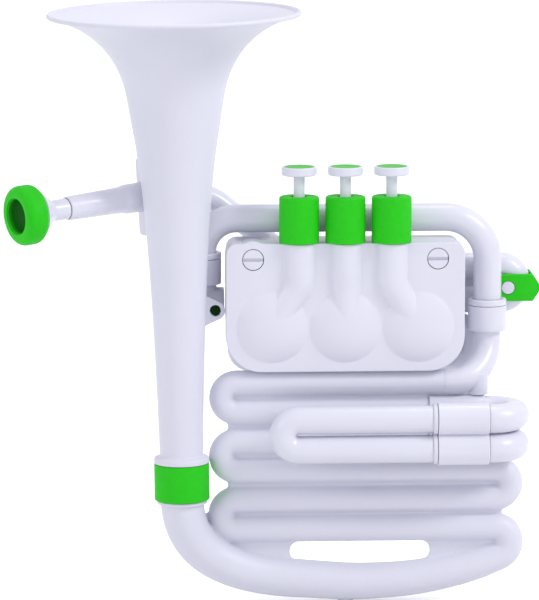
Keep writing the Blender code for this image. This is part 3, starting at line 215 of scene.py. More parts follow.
def buildPlastic(name, look):
    # a moulded plastic with cloudy colour, worn edges, fine grain and uneven gloss, and for the mouthpiece a
    # painted shadow inside its cup
    material = bpy.data.materials.new(name)
    material.use_nodes = True
    tree = material.node_tree
    shader = tree.nodes["Principled BSDF"]
    grain, wear = tree.nodes.new("ShaderNodeGroup"), tree.nodes.new("ShaderNodeGroup")
    grain.node_tree, wear.node_tree = mouldGrain, edgeWear
    link(tree, look["grainScale"], grain.inputs["Grain Scale"])
    link(tree, look["cloudScale"], grain.inputs["Cloud Scale"])
    cloudy = mixColour(tree, grain.outputs["Cloud"], look["colour"], look["cloud"])
    speckled = mixColour(tree, mathNode(tree, "MULTIPLY", grain.outputs["Speckle"], look["speckle"]),
                         cloudy, look["worn"])
    worn = mixColour(tree, mathNode(tree, "MULTIPLY", wear.outputs["Mask"], look["wear"]), speckled,
                     look["worn"])
    # painted shadow: the inside of the mouthpiece's cup is mixed towards a dark green in the base colour
    if "cup" in look:
        worn = mixColour(tree, paintedCupShadow(tree, *look["cup"]), worn, look["cupPaintedShadowColour"])
    link(tree, worn, shader.inputs["Base Color"])
    rough = mathNode(tree, "MULTIPLY", grain.outputs["Cloud"], look["roughSpread"])
    link(tree, mathNode(tree, "ADD", rough, look["rough"]), shader.inputs["Roughness"])
    bump = tree.nodes.new("ShaderNodeBump")
    link(tree, look["bump"], bump.inputs["Strength"])
    link(tree, look["bumpDepth"], bump.inputs["Distance"])
    link(tree, grain.outputs["Height"], bump.inputs["Height"])
    link(tree, bump.outputs["Normal"], shader.inputs["Normal"])
    for label, key, usual in (("Metallic", "metal", 0.0), ("Coat Weight", "coat", 0.0),
                              ("Coat Roughness", "coatRough", 0.1), ("Specular IOR Level", "specular", 0.5)):
        link(tree, look.get(key, usual), shader.inputs[label])
    return material


greenMatte = {"slot": "green_plastic", "colour": (0.007, 0.53, 0.003, 1), "cloud": (0.014, 0.58, 0.006, 1),
              "worn": (0.07, 0.66, 0.03, 1), "speckle": 0.34, "wear": 0.6, "rough": 0.50, "roughSpread": 0.15,
              "bump": 0.8, "bumpDepth": 0.00025, "grainScale": 1100.0, "cloudScale": 30.0, "specular": 0.2}
finishes = {
    "whiteGloss": {"slot": "white_plastic", "colour": (0.71, 0.71, 0.80, 1), "cloud": (0.745, 0.745, 0.83, 1),
                   "worn": (0.84, 0.84, 0.93, 1), "speckle": 0.10, "wear": 0.5, "rough": 0.25,
                   "roughSpread": 0.12, "bump": 0.10, "bumpDepth": 0.00008, "grainScale": 1500.0,
                   "cloudScale": 22.0, "coat": 0.15, "coatRough": 0.12},
    "whiteSatin": {"slot": "white_plastic", "colour": (0.69, 0.69, 0.78, 1),
                   "cloud": (0.725, 0.725, 0.815, 1), "worn": (0.84, 0.84, 0.93, 1), "speckle": 0.14,
                   "wear": 0.5, "rough": 0.38, "roughSpread": 0.12, "bump": 0.20, "bumpDepth": 0.00010,
                   "grainScale": 1300.0, "cloudScale": 26.0},
    "greenMatte": greenMatte,
    # the mouthpiece's green, with a painted shadow darkening the inside of its cup
    "greenWithPaintedCupShadow": {**greenMatte, "cup": ((-0.1902, -0.0171, 0.0968), 0.0131, 0.14),
                 "cupPaintedShadowColour": (0.0004, 0.13, 0.0006, 1)},
    "greenInlay": {"slot": "green_plastic", "colour": (0.05, 0.45, 0.03, 1), "cloud": (0.06, 0.50, 0.035, 1),
                   "worn": (0.2, 0.7, 0.15, 1), "speckle": 0.14, "wear": 0.4, "rough": 0.50,
                   "roughSpread": 0.12, "bump": 0.30, "bumpDepth": 0.00012, "grainScale": 1100.0,
                   "cloudScale": 40.0, "specular": 0.35},
    # dark green rubber; its near-black tone is also painted shade for the brace's hole
    "darkRubberPaintedShade": {"slot": "dark_rubber", "colour": (0.0008, 0.018, 0.001, 1),
                   "cloud": (0.0015, 0.026, 0.002, 1), "worn": (0.01, 0.06, 0.01, 1), "speckle": 0.1,
                   "wear": 0.3, "rough": 0.62, "roughSpread": 0.2, "bump": 0.4, "bumpDepth": 0.00012,
                   "grainScale": 1200.0, "cloudScale": 60.0, "specular": 0.1},
    "springSteel": {"slot": "spring_steel", "colour": (0.50, 0.50, 0.51, 1), "cloud": (0.58, 0.58, 0.60, 1),
                    "worn": (0.72, 0.72, 0.74, 1), "speckle": 0.2, "wear": 0.5, "rough": 0.24,
                    "roughSpread": 0.14, "bump": 0.1, "bumpDepth": 0.00005, "grainScale": 1600.0,
                    "cloudScale": 90.0, "metal": 1.0},
}
for finishName, look in finishes.items():
    look["material"] = buildPlastic(finishName, look)
print("materials made")


# Shaping helpers

def bentPath(corners, bends, step=7.5):
    # straight runs with an arc of the given radius at each inner corner
    corners = [Vector(corner) for corner in corners]
    path = [corners[0]]
    for before, corner, after, bend in zip(corners, corners[1:], corners[2:], bends):
        inward, outward = (corner - before).normalized(), (after - corner).normalized()
        turn = inward.angle(outward)
        if bend <= 0.0 or turn < 0.01:
            path.append(corner)
            continue
        side = (outward - inward * inward.dot(outward)).normalized()
        start = corner - inward * (bend * math.tan(turn / 2))
        count = max(3, math.ceil(math.degrees(turn) / step))
        for i in range(count + 1):
            angle = turn * i / count
            point = start + inward * (bend * math.sin(angle)) + side * (bend * (1 - math.cos(angle)))
            if (point - path[-1]).length > 0.01:
                path.append(point)
    if (corners[-1] - path[-1]).length > 0.01:
        path.append(corners[-1])
    return path


def softLine(points, step=18.0):
    # a profile of (radius, height, bend) points with its inner corners rounded
    path = bentPath([(p[0], p[1], 0.0) for p in points], [p[2] for p in points[1:-1]], step)
    return [(point.x, point.y) for point in path]


def softLoop(points, step=18.0):
    # a closed outline of (a, b, bend) points with every corner rounded
    loop = []
    for i, (a, b, bend) in enumerate(points):
        before, after = points[i - 1], points[(i + 1) % len(points)]
        if bend <= 0.0:
            loop.append((a, b))
            continue
        arc = bentPath([(before[0], before[1], 0), (a, b, 0), (after[0], after[1], 0)], [bend], step)[1:-1]
        loop.extend((point.x, point.y) for point in arc)
    return loop


def axisMatrix(origin, direction):
    return Matrix.Translation(Vector(origin)) @ Vector(direction).to_track_quat("Z", "Y").to_matrix().to_4x4()


def alongY(x, y, z):
    return Matrix.Translation(Vector((x, y, z))) @ Matrix.Rotation(-quarter, 4, "X")


def tidied(bm):
    # doubles merged and faces turned outwards
    bmesh.ops.remove_doubles(bm, verts=bm.verts, dist=weld)
    bmesh.ops.recalc_face_normals(bm, faces=bm.faces)
    return bm


def turned(profile, place=Matrix(), sides=72, closed=True):
    # a turned shape from (radius, height) points
    bm = bmesh.new()
    chain = [bm.verts.new((radius, 0.0, height)) for radius, height in profile]
    edges = [bm.edges.new(pair) for pair in zip(chain, chain[1:])]
    if closed:
        edges.append(bm.edges.new((chain[-1], chain[0])))
    bmesh.ops.spin(bm, geom=chain + edges, cent=(0, 0, 0), axis=(0, 0, 1), angle=math.tau, steps=sides,
                   use_merge=True)
    tidied(bm)
    bmesh.ops.transform(bm, matrix=place, verts=bm.verts)
    return bm


def newVertsAndEdges(extruded):
    verts = [part for part in extruded["geom"] if isinstance(part, bmesh.types.BMVert)]
    edges = [part for part in extruded["geom"] if isinstance(part, bmesh.types.BMEdge)]
    return verts, edges


def stationFrames(path):
    # a frame at each point of a path, carried along it without twist
    tangents = []
    for i, point in enumerate(path):
        ahead = (path[i + 1] - point).normalized() if i + 1 < len(path) else Vector()
        behind = (point - path[i - 1]).normalized() if i else Vector()
        tangents.append((ahead + behind).normalized())
    turn = tangents[0].to_track_quat("Z", "Y")
    frames = []
    for i, (point, tangent) in enumerate(zip(path, tangents)):
        if i:
            turn = tangents[i - 1].rotation_difference(tangent) @ turn
        frames.append(Matrix.Translation(point) @ turn.to_matrix().to_4x4())
    return frames


def withStations(path, stations):
    # the path with extra points at given distances, and every point's distance from its start
    points, distances, travelled = [path[0]], [0.0], 0.0
    waiting = sorted(stations)
    for a, b in zip(path, path[1:]):
        run = (b - a).length
        while waiting and waiting[0] < travelled + run - 0.02:
            station = waiting.pop(0)
            if station > distances[-1] + 0.02:
                points.append(a.lerp(b, (station - travelled) / run))
                distances.append(station)
        travelled += run
        if travelled > distances[-1] + 0.02:
            points.append(b)
            distances.append(travelled)
    return points, distances


def pathLength(path):
    return sum((b - a).length for a, b in zip(path, path[1:]))


def radiusAt(profile, distance):
    if distance <= profile[0][0]:
        return profile[0][1]
    for (d0, r0), (d1, r1) in zip(profile, profile[1:]):
        if distance <= d1:
            return r0 + (r1 - r0) * (distance - d0) / (d1 - d0)
    return profile[-1][1]


def lipped(profile, run, lip):
    # an outer radius profile with both of its ends rounded over by the lip
    if lip <= 0.0:
        return profile
    steps = [0.0, 0.13, 0.5, 1.0]
    drop = [1.0, 0.5, 0.13, 0.0]
    near = [(lip * s, radiusAt(profile, lip * s) - lip * d) for s, d in zip(steps, drop)]
    far = [(run - lip * s, radiusAt(profile, run - lip * s) - lip * d) for s, d in zip(steps, drop)]
    middle = [(d, r) for d, r in profile if lip < d < run - lip]
    return near + middle + far[::-1]


def sweptPipe(path, outer, bore=None, sides=56, lip=0.6):
    # a pipe along a path: a ring carried forward as the outside, back as the bore, and joined
    # Radii are one value or a list of (distance, radius); with no bore the rod is solid
    run = pathLength(path)
    outer = lipped(outer if isinstance(outer, list) else [(0.0, outer)], run, lip)
    inner = bore if isinstance(bore, list) else [(0.0, bore)]
    points, distances = withStations(path, [d for d, _ in outer] + ([d for d, _ in inner] if bore else []))
    frames = stationFrames(points)
    route = [frame @ Matrix.Scale(radiusAt(outer, d), 4) for frame, d in zip(frames, distances)]
    if bore:
        back = [frame @ Matrix.Scale(radiusAt(inner, d), 4) for frame, d in zip(frames, distances)]
        route += back[::-1]
    bm = bmesh.new()
    bmesh.ops.create_circle(bm, cap_ends=False, segments=sides, radius=1.0, matrix=route[0])
    start = edges = list(bm.edges)
    for before, after in zip(route, route[1:]):
        verts, edges = newVertsAndEdges(bmesh.ops.extrude_edge_only(bm, edges=edges))
        bmesh.ops.transform(bm, matrix=after @ before.inverted(), verts=verts)
    if bore:
        bmesh.ops.bridge_loops(bm, edges=start + edges)
    else:
        bmesh.ops.contextual_create(bm, geom=start)
        bmesh.ops.contextual_create(bm, geom=edges)
    return tidied(bm)


def outlinePlate(outline, nearY, farY, edge=0.0, segments=3):
    # a flat piece in the XZ plane, from nearY to farY, with rounded edges
    bm = bmesh.new()
    face = bm.faces.new([bm.verts.new((x, nearY, z)) for x, z in outline])
    grown = bmesh.ops.extrude_face_region(bm, geom=[face])
    verts = [part for part in grown["geom"] if isinstance(part, bmesh.types.BMVert)]
    bmesh.ops.translate(bm, vec=(0.0, farY - nearY, 0.0), verts=verts)
    tidied(bm)
    if edge > 0.0:
        rims = [e for e in bm.edges if abs(e.verts[0].co.y - e.verts[1].co.y) < 0.01]
        bmesh.ops.bevel(bm, geom=rims, offset=edge, offset_type="OFFSET", segments=segments, profile=0.5,
                        affect="EDGES", material=-1)
    return bm


def rod(radius, low, high, place=Matrix(), sides=64, edge=0.0):
    # a round rod along its own Z from low to high, with softened ends
    return turned(softLine([(0, low, 0), (radius, low, edge), (radius, high, edge), (0, high, 0)]), place,
                  sides, closed=False)


def rectangle(left, low, right, high, *bend):
    # the corners of an outline, each with the bend that softLoop gives it
    return [(left, low, *bend), (right, low, *bend), (right, high, *bend), (left, high, *bend)]


def plainRod(path, radius):
    # a solid rod along a path with square ends, which also cuts a bore
    return sweptPipe(path, radius, None, 48, 0.0)


def runPast(path):
    # a path that opens to the left, with both of its ends carried 3 mm further
    step = Vector((3.0, 0, 0))
    return [path[0] - step, *path, path[-1] - step]


def scratchObject(bm):
    return placed("scratch", meshOf(bm, "scratch"))


def modified(shape):
    # the mesh that an object's modifiers give it
    bpy.context.view_layer.update()
    result = bmesh.new()
    result.from_mesh(shape.evaluated_get(bpy.context.evaluated_depsgraph_get()).to_mesh())
    return result


def join(other):
    return "UNION", other


def cut(other):
    return "DIFFERENCE", other


def carved(bm, *steps):
    # a mesh with others joined to it or cut from it in turn
    shapes = [scratchObject(bm)]
    for operation, other in steps:
        shapes.append(scratchObject(other))
        modifier = shapes[0].modifiers.new(operation, "BOOLEAN")
        modifier.operation, modifier.solver, modifier.object = operation, "EXACT", shapes[-1]
    result = modified(shapes[0])
    for shape in shapes:
        bpy.data.meshes.remove(shape.data)
    return result


def finishPiece(bm, name, *nodes, finish="whiteGloss", body="horn", crease=32.0):
    # scales a mesh to metres and places it as a piece that stands for its CAD nodes
    bmesh.ops.scale(bm, vec=(mm, mm, mm), verts=bm.verts)
    mesh = meshOf(bm, name)
    piece = placed(name, mesh)
    mesh.shade_smooth()
    mesh.set_sharp_from_angle(angle=math.radians(crease))
    mesh.materials.append(finishes[finish]["material"])
    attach(piece, body)
    if nodes:
        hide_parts(*nodes)
    return piece


# Bell, its collar and the green band

bell = {"base": (-98.5, 0.5, -80.5), "lean": -0.80, "length": 294.1, "rim": 75.98, "throat": 13.0,
        "flareOffset": 11.7, "flarePower": 0.56, "wall": 2.2, "collar": 16.6, "lipBottom": 23.3,
        "lipTop": 27.3, "slim": 2.0, "slimFrom": 226.0, "slimTo": 296.0, "seatLip": 15.2, "seatBore": 12.4,
        "bandBottom": 0.9, "bandTop": 23.0, "bandInside": 15.5, "bead": 1.4, "rings": 70, "crowding": 1.9,
        "sides": 128}
bellUp = Vector((math.sin(math.radians(bell["lean"])), 0.0, math.cos(math.radians(bell["lean"]))))
bellPlace = axisMatrix(bell["base"], bellUp)


def flareShare(fromRim):
    return ((fromRim + bell["flareOffset"]) / bell["flareOffset"]) ** -bell["flarePower"]


def bellRadius(height):
    # outer radius at a height above the bell's seat
    tail = flareShare(bell["length"] - bell["lipTop"])
    share = (flareShare(bell["length"] - height) - tail) / (1 - tail)
    along = min(1.0, max(0.0, (height - bell["slimFrom"]) / (bell["slimTo"] - bell["slimFrom"])))
    slimmed = bell["slim"] * math.sin(math.pi * along) ** 2
    return bell["throat"] + (bell["rim"] - bell["throat"]) * share - slimmed


def bellSide(top, rings):
    # rings from the top down, closer together near the rim
    run = top - bell["lipTop"]
    heights = [top - run * (i / rings) ** bell["crowding"] for i in range(rings + 1)]
    return [(bellRadius(height), height) for height in heights]


def buildBell():
    length, bead, wall = bell["length"], bell["bead"], bell["wall"]
    outer = bellSide(length - 0.9, bell["rings"])
    inner = [(r - wall, h) for r, h in reversed(bellSide(length - 0.3, bell["rings"]))]
    centre = (bell["rim"] - bead, length + 0.2)
    rim = [(centre[0] + bead * math.cos(math.radians(a)), centre[1] + bead * math.sin(math.radians(a)))
           for a in range(165, -121, -15)]
    collar = softLine([outer[-2] + (0,), (bell["throat"], bell["lipTop"], 1.6),
                       (bell["collar"], bell["lipTop"] - 0.4, 1.1), (bell["collar"], bell["lipBottom"], 0.5),
                       (bell["throat"], bell["lipBottom"], 0.2), (bell["throat"], 0.0, 0.2),
                       (bell["throat"] - wall, 0.0, 0.2), inner[1] + (0,)])
    profile = rim + outer[:-1] + collar[1:-1] + inner[1:]
    finishPiece(turned(profile, bellPlace, bell["sides"]), "bellHorn", "bell", "bell_tail",
                finish="whiteSatin")
    inside, outside, low, high = bell["bandInside"], bell["collar"], bell["bandBottom"], bell["bandTop"]
    band = softLoop([(inside, high, 0.3), (outside, high, 0.5), (outside, low, 0.5), (inside, low, 0.3)])
    finishPiece(turned(band, bellPlace, bell["sides"]), "collarBand", "bell_collar_band",
                finish="greenMatte")


def bellCutter(gap):
    # a solid that follows the bell's outside with a gap
    side = [(r + gap, h) for r, h in bellSide(bell["length"], 40)]
    return turned([(0.0, side[0][1]), *side, (0.0, side[-1][1])], bellPlace, 96, closed=False)


buildBell()
print("bell made")


# Serpentine body, moulded in two halves with the web between its passes

body = {"plane": 9.6, "pitch": 17.93, "firstZ": -10.5, "firstRadius": 7.6, "lastRadius": 8.3,
        "endRadius": 13.1, "leftTurn": -65.3, "rightTurn": 91.6, "firstEnd": 62.8, "spigotEnd": 80.0,
        "lastTurnZ": -115.65, "bowBend": 200.0, "heelReach": 40.0, "collarReach": 33.0,
        "bow": [(92.2, -119.2), (76.0, -125.3), (40.0, -132.2), (5.0, -133.6), (-30.0, -131.0)],
        "swell": [(-10.0, 8.35), (0.0, 9.0), (9.0, 9.6), (24.0, 10.2), (40.0, 10.5)],
        "foot": (1.0, 4.2, -145.6, -136.6), "voxel": 0.72, "smoothing": 2, "parting": 0.15,
        "webHalf": 1.5, "webLeft": -70.5, "webRight": 50.6, "webLowerRight": 96.0, "webTopRight": 64.0,
        "webTopLow": -18.7, "notchTop": -90.5,
        "slot": [(-33.0, -108.4, 5.5), (52.0, -108.4, 5.5), (52.0, -119.9, 5.5), (9.5, -123.6, 160.0),
                 (-33.0, -119.9, 5.5)]}


def passZ(number):
    return body["firstZ"] - (number - 1) * body["pitch"]


def serpentine(points, bends):
    return bentPath([(x, body["plane"], z) for x, z in points], bends)


def bodyPaths():
    # centre lines of passes 1 and 2, of passes 3 to 6 with the last turn, and of the bottom bow
    half = body["pitch"] / 2
    left, right = body["leftTurn"] - half, body["rightTurn"] + half
    upper = serpentine([(body["firstEnd"], passZ(1)), (left, passZ(1)), (left, passZ(2)),
                        (body["spigotEnd"], passZ(2))], [half] * 2)
    lower = serpentine([(body["spigotEnd"], passZ(3)), (left, passZ(3)), (left, passZ(4)), (right, passZ(4)),
                        (right, passZ(5)), (left, passZ(5)), (left, passZ(6)), (right, passZ(6)),
                        (right, body["lastTurnZ"]), body["bow"][0]], [half] * 8)
    bow = serpentine(body["bow"], [body["bowBend"]] * 3)
    # the heel: a curve from the end of the bow up to the bell's seat
    start, end, steps = bow[-1], Vector(bell["base"]) + bellUp * 0.3, 24
    leaving = start + (bow[-1] - bow[-2]).normalized() * body["heelReach"]
    arriving = end - bellUp * body["collarReach"]
    for i in range(1, steps + 1):
        t = i / steps
        bow.append(start * (1 - t) ** 3 + leaving * 3 * t * (1 - t) ** 2 + arriving * 3 * t * t * (1 - t)
                   + end * t ** 3)
    return upper, lower, bow


def buildWeb(bow):
    low = [(p.x, p.z) for p in bow if p.z < body["notchTop"] - body["lastRadius"]]
    left, right, top = body["webLeft"], body["webRight"], body["webTopRight"]
    outline = [(left, body["notchTop"]), (left, passZ(1) - 9.0), (left + 8.0, passZ(1)), (top, passZ(1)),
               (top, body["webTopLow"]), (right, body["webTopLow"]), (right, passZ(4)),
               (body["webLowerRight"], passZ(4)), (body["webLowerRight"], passZ(6)), *low,
               (low[-1][0], body["notchTop"])]
    near, far = body["plane"] - body["webHalf"], body["plane"] + body["webHalf"]
    web = outlinePlate(outline, near, far)
    slot = outlinePlate(softLoop(body["slot"]), near - 5.0, far + 5.0)
    return carved(web, cut(slot))


def voxelBlend(bm, size, rounds):
    # one skin over overlapping closed shapes, with soft fillets where they meet
    shape = scratchObject(bm)
    modifier = shape.modifiers.new("blend", "REMESH")
    modifier.mode, modifier.voxel_size = "VOXEL", size
    result = modified(shape)
    bpy.data.meshes.remove(shape.data)
    for _ in range(rounds):
        bmesh.ops.smooth_vert(result, verts=result.verts, factor=0.5, use_axis_x=True, use_axis_y=True,
                              use_axis_z=True)
    return result


def joinedMeshes(*parts):
    # several meshes gathered in one, still overlapping
    whole = bmesh.new()
    for part in parts:
        mesh = meshOf(part, "gathered")
        whole.from_mesh(mesh)
        bpy.data.meshes.remove(mesh)
    return whole


def buildBody():
    upper, lower, bow = bodyPaths()
    run = pathLength(lower)
    growth = [(0.0, body["firstRadius"]), *[(run + d, r) for d, r in body["swell"]],
              (run + pathLength(bow), body["endRadius"])]
    footX, footRadius, footLow, footHigh = body["foot"]
    foot = rod(footRadius, footLow, footHigh, Matrix.Translation((footX, body["plane"], 0.0)), 32)
    solid = voxelBlend(joinedMeshes(plainRod(upper, body["firstRadius"]), plainRod(lower + bow[1:], growth),
                                    buildWeb(bow), foot), body["voxel"], body["smoothing"])
    gap = body["parting"]
    for name, node, y, outward in (("bodyFront", "body_front_shell", body["plane"] - gap, 1),
                                   ("bodyRear", "body_rear_shell", body["plane"] + gap, -1)):
        half = solid.copy()
        split = bmesh.ops.bisect_plane(half, geom=half.verts[:] + half.edges[:] + half.faces[:],
                                       plane_co=(0, y, 0), plane_no=(0, outward, 0), clear_outer=True)
        seam = [part for part in split["geom_cut"] if isinstance(part, bmesh.types.BMEdge)]
        bmesh.ops.triangle_fill(half, edges=seam, use_beauty=True)
        finishPiece(tidied(half), name, node, finish="whiteSatin")
    solid.free()
    lip = softLoop([(bell["seatBore"], 0.6, 0.3), (bell["seatLip"], 0.6, 0.5), (bell["seatLip"], -1.5, 0.9),
                    (bell["seatBore"], -2.2, 0.3)])
    finishPiece(turned(lip, bellPlace, bell["sides"]), "collarSeat", finish="whiteSatin")


buildBody()
print("body made")


# Top tuning slide, its sockets and their caps

slide = {"plane": 26.0, "radius": 8.5, "wall": 2.0, "topZ": 87.4, "rightBend": 26.0, "leftBend": 20.5,
         "rightX": 87.8, "leftX": -85.2, "insert": 16.0, "rightTop": 37.4, "leftTop": 67.2, "capHeight": 3.6,
         "capRoof": 1.5, "capGap": 0.3, "depth": 19.0, "socket": 11.6, "socketBore": 8.9, "floor": 2.4,
         "riser": 8.1, "riserWall": 2.2, "riserBend": 22.0, "riserEnd": 60.4, "forwardRun": 34.0,
         "riserLip": 7.8, "taperRun": 16.0, "elbow": 8.6, "elbowZ": 37.0, "elbowBend": 9.5, "elbowEnd": -72.2,
         "conduitBore": 5.0, "gusset": (62.6, 85.0, -18.7), "post": (81.0, 11.5, 6.3, -18.7, -6.0)}


def socketProfile(depth, radius, tube, lip=0.7):
    # a sleeve that steps down to its tube with a rounded shoulder
    return [(0.0, radius), (depth - lip, radius), (depth - lip * 0.4, radius - lip * 0.25),
            (depth, radius - lip), (depth + 0.05, tube)]


def riserPath(top):
    # straight down from the socket, then a wide bend that eases forward into the first pass
    x, bend = slide["rightX"], slide["riserBend"]
    straight = [(x, top - i * 4.0) for i in range(int((top - passZ(1) - bend) / 4.0) + 1)]
    arc = [(x - bend + bend * math.cos(a), passZ(1) + bend - bend * math.sin(a))
           for a in (quarter * i / 18 for i in range(19))]
    line = straight + arc + [(slide["riserEnd"], passZ(1))]
    travelled, path = 0.0, []
    for i, (a, z) in enumerate(line):
        travelled += math.dist(line[i], line[i - 1]) if i else 0.0
        t = min(1.0, max(0.0, (travelled - slide["depth"]) / slide["forwardRun"]))
        y = slide["plane"] + (body["plane"] - slide["plane"]) * t * t * (3 - 2 * t)
        path.append(Vector((a, y, z)))
    return path


def buildTuningSlide():
    y, top = slide["plane"], slide["topZ"]
    path = bentPath([(slide["rightX"], y, slide["rightTop"] - slide["insert"]), (slide["rightX"], y, top),
                     (slide["leftX"], y, top), (slide["leftX"], y, slide["leftTop"] - slide["insert"])],
                    [slide["rightBend"], slide["leftBend"]], 5.0)
    finishPiece(sweptPipe(path, slide["radius"], slide["radius"] - slide["wall"]), "tuningSlide",
                "tuning_slide_bow", body="tuning_slide")


def buildSlideSockets():
    y, right, left = slide["plane"], slide["rightX"], slide["leftX"]
    depth, radius, inside = slide["depth"] - slide["capHeight"], slide["socket"], slide["socketBore"]
    floor = depth - slide["floor"]
    path = riserPath(slide["rightTop"] - slide["capHeight"] - slide["capGap"])
    run = pathLength(path)
    outer = socketProfile(depth, radius, slide["riser"])
    outer += [(run - slide["taperRun"], slide["riser"]), (run, slide["riserLip"])]
    bore = [(0.0, inside), (floor, inside), (floor + 0.2, slide["riser"] - slide["riserWall"]),
            (run, body["firstRadius"] - slide["riserWall"])]
    postX, postY, postRadius, postLow, postHigh = slide["post"]
    post = rod(postRadius, postLow, postHigh, Matrix.Translation((postX, postY, 0.0)), 56, 0.4)
    nearX, farX, low = slide["gusset"]
    web = outlinePlate(rectangle(nearX, low, farX, passZ(1) - 5.0), body["plane"] - body["webHalf"],
                       body["plane"] + body["webHalf"], 0.4)
    hollow = plainRod(path, [(d, r - 0.05) for d, r in bore])
    finishPiece(carved(sweptPipe(path, outer, lip=0.2), join(web), join(post), cut(hollow)), "riserSocket",
                "slide_socket_right")
    top = slide["leftTop"] - slide["capHeight"] - slide["capGap"]
    path = bentPath([(left, y, top), (left, y, slide["elbowZ"]), (slide["elbowEnd"], y, slide["elbowZ"])],
                    [slide["elbowBend"]], 5.0)
    outer = socketProfile(depth, radius, slide["elbow"])
    bore = [(0.0, inside), (floor, inside), (floor + 0.2, slide["conduitBore"])]
    finishPiece(sweptPipe(path, outer, bore, lip=0.3), "elbowSocket", "slide_socket_left")
    roof = slide["capRoof"]
    for name, x, high in (("right", right, slide["rightTop"]), ("left", left, slide["leftTop"])):
        ring = softLoop([(inside, 0.0, 0.4), (radius, 0.0, 1.0), (radius, -slide["capHeight"], 0.3),
                         (inside + roof, -slide["capHeight"], 0.0),
                         (inside + roof, roof - slide["capHeight"], 0.0),
                         (inside, roof - slide["capHeight"], 0.0)])
        finishPiece(turned(ring, Matrix.Translation((x, y, high))), "socketCap" + name.capitalize(),
                    "socket_cap_" + name)


buildTuningSlide()
buildSlideSockets()
print("tuning slide made")


# Front crook and its connector

crook = {"plane": -20.4, "radius": 8.3, "wall": 2.0, "turnX": -29.5, "socketLeft": 54.2, "socketRight": 84.8,
         "socket": 10.0, "insert": 24.0, "backLeft": 51.2, "backSocket": 9.5, "tube": 8.7, "rightX": 102.0,
         "bore": 6.3, "mouth": 8.75, "backMouth": 8.1, "edge": 0.5, "bevel": 3.0,
         "bevelRadius": 9.15, "groove": 0.6}


def buildCrook():
    half, y = body["pitch"] / 2, crook["plane"]
    left, inserted = crook["turnX"] - half, crook["socketLeft"] + crook["insert"]
    path = bentPath([(inserted, y, passZ(2)), (left, y, passZ(2)), (left, y, passZ(3)),
                     (inserted, y, passZ(3))], [half] * 2, 5.0)
    finishPiece(sweptPipe(path, crook["radius"], crook["radius"] - crook["wall"]), "crookLoop",
                "crook_loop", body="crook_bow")


def buildConnector():
    # two sockets in front and two behind, with fine grooves at the seams
    near, far, rightX, edge = crook["plane"], body["plane"], crook["rightX"], crook["edge"]
    bevel, start, groove = crook["bevel"], crook["bevelRadius"], crook["groove"]
    socket, tube, backSocket = crook["socket"], crook["tube"], crook["backSocket"]
    solids, bores = [], []
    for number in (2, 3):
        z = passZ(number)
        path = bentPath([(crook["socketLeft"] - bevel, near, z), (rightX, near, z), (rightX, far, z),
                         (crook["backLeft"], far, z)], [(far - near) / 2] * 2, 5.0)
        run = pathLength(path)
        front = crook["socketRight"] - crook["socketLeft"] + bevel
        back = run - (crook["socketRight"] - crook["backLeft"])
        outer = [(0.0, start), (bevel - 0.5, start + 0.25), (bevel - 0.45, start - groove),
                 (bevel - 0.1, start - groove), (bevel, socket), (front - edge, socket),
                 (front, socket - edge), (front + 0.05, tube - groove), (front + 0.5, tube - groove),
                 (front + 0.55, tube), (back - 0.1, tube), (back, backSocket - 0.4),
                 (back + 0.4, backSocket), (run, backSocket)]
        seat = crook["insert"] + bevel + 0.3
        backSeat = run - (body["spigotEnd"] - crook["backLeft"]) - 0.3
        bore = [(0.0, crook["mouth"]), (seat, crook["mouth"]), (seat + 0.5, crook["bore"]),
                (backSeat - 0.5, crook["bore"]), (backSeat, crook["backMouth"]), (run, crook["backMouth"])]
        solids.append(sweptPipe(path, outer, lip=edge))
        bores.append(plainRod(runPast(path), [(d + 3.0, r) for d, r in bore]))
    finishPiece(carved(solids[0], join(solids[1]), cut(bores[0]), cut(bores[1])), "crookConnector",
                "crook_connector", body="crook_connector_piece")


buildCrook()
buildConnector()
print("crook made")


# Leadpipe, its bracket at the bell, and the mouthpiece

lead = {"mouth": (-167.07, -3.77, 98.25), "yaw": 30.0, "rise": 3.6, "knee": (-101.5, 34.09, 103.02),
        "behind": (-78.0, 46.5, 97.4), "drop": (-24.41, 46.5, 54.0), "end": (2.0, 46.5, 54.0), "bend": 20.0,
        "sleeve": 7.2, "fat": 8.9, "tube": 7.0, "fatStart": 40.5, "fatEnd": 54.8, "receiver": 26.3,
        "receiverBore": 6.3, "bore": 5.2, "pathEnd": 999.0}
leadTurn = (Matrix.Rotation(math.radians(lead["yaw"]), 4, "Z")
            @ Matrix.Rotation(-math.radians(lead["rise"]), 4, "Y"))
leadHeading = leadTurn @ Vector((1.0, 0.0, 0.0))


def buildLeadpipe():
    # a slim sleeve that steps up to the fat grip, then the tube to its end behind the valves
    start, end, tube, fat = lead["fatStart"], lead["fatEnd"], lead["tube"], lead["fat"]
    sleeve, seat, past = lead["sleeve"], lead["receiver"], lead["pathEnd"]
    path = bentPath([lead["mouth"], lead["knee"], lead["behind"], lead["drop"], lead["end"]],
                    [lead["bend"]] * 3, 5.0)
    outer = [(0.0, sleeve), (start - 9.0, sleeve + 0.6), (start - 4.0, sleeve + 0.8),
             (start - 2.0, fat - 0.6), (start - 0.6, fat - 0.15), (start + 1.0, fat), (end - 0.5, fat),
             (end, fat - 0.3), (end + 0.4, tube), (past, tube)]
    bore = [(0.0, lead["receiverBore"]), (seat, lead["receiverBore"]), (seat + 0.2, lead["bore"]),
            (past, lead["bore"])]
    finishPiece(sweptPipe(path, outer, bore), "leadPipe", "leadpipe")


bracket = {"at": 56.3, "half": 11.6, "high": 21.9, "low": -25.2, "thick": 3.0, "corner": 2.6, "edge": 0.7,
           "hole": 7.3}


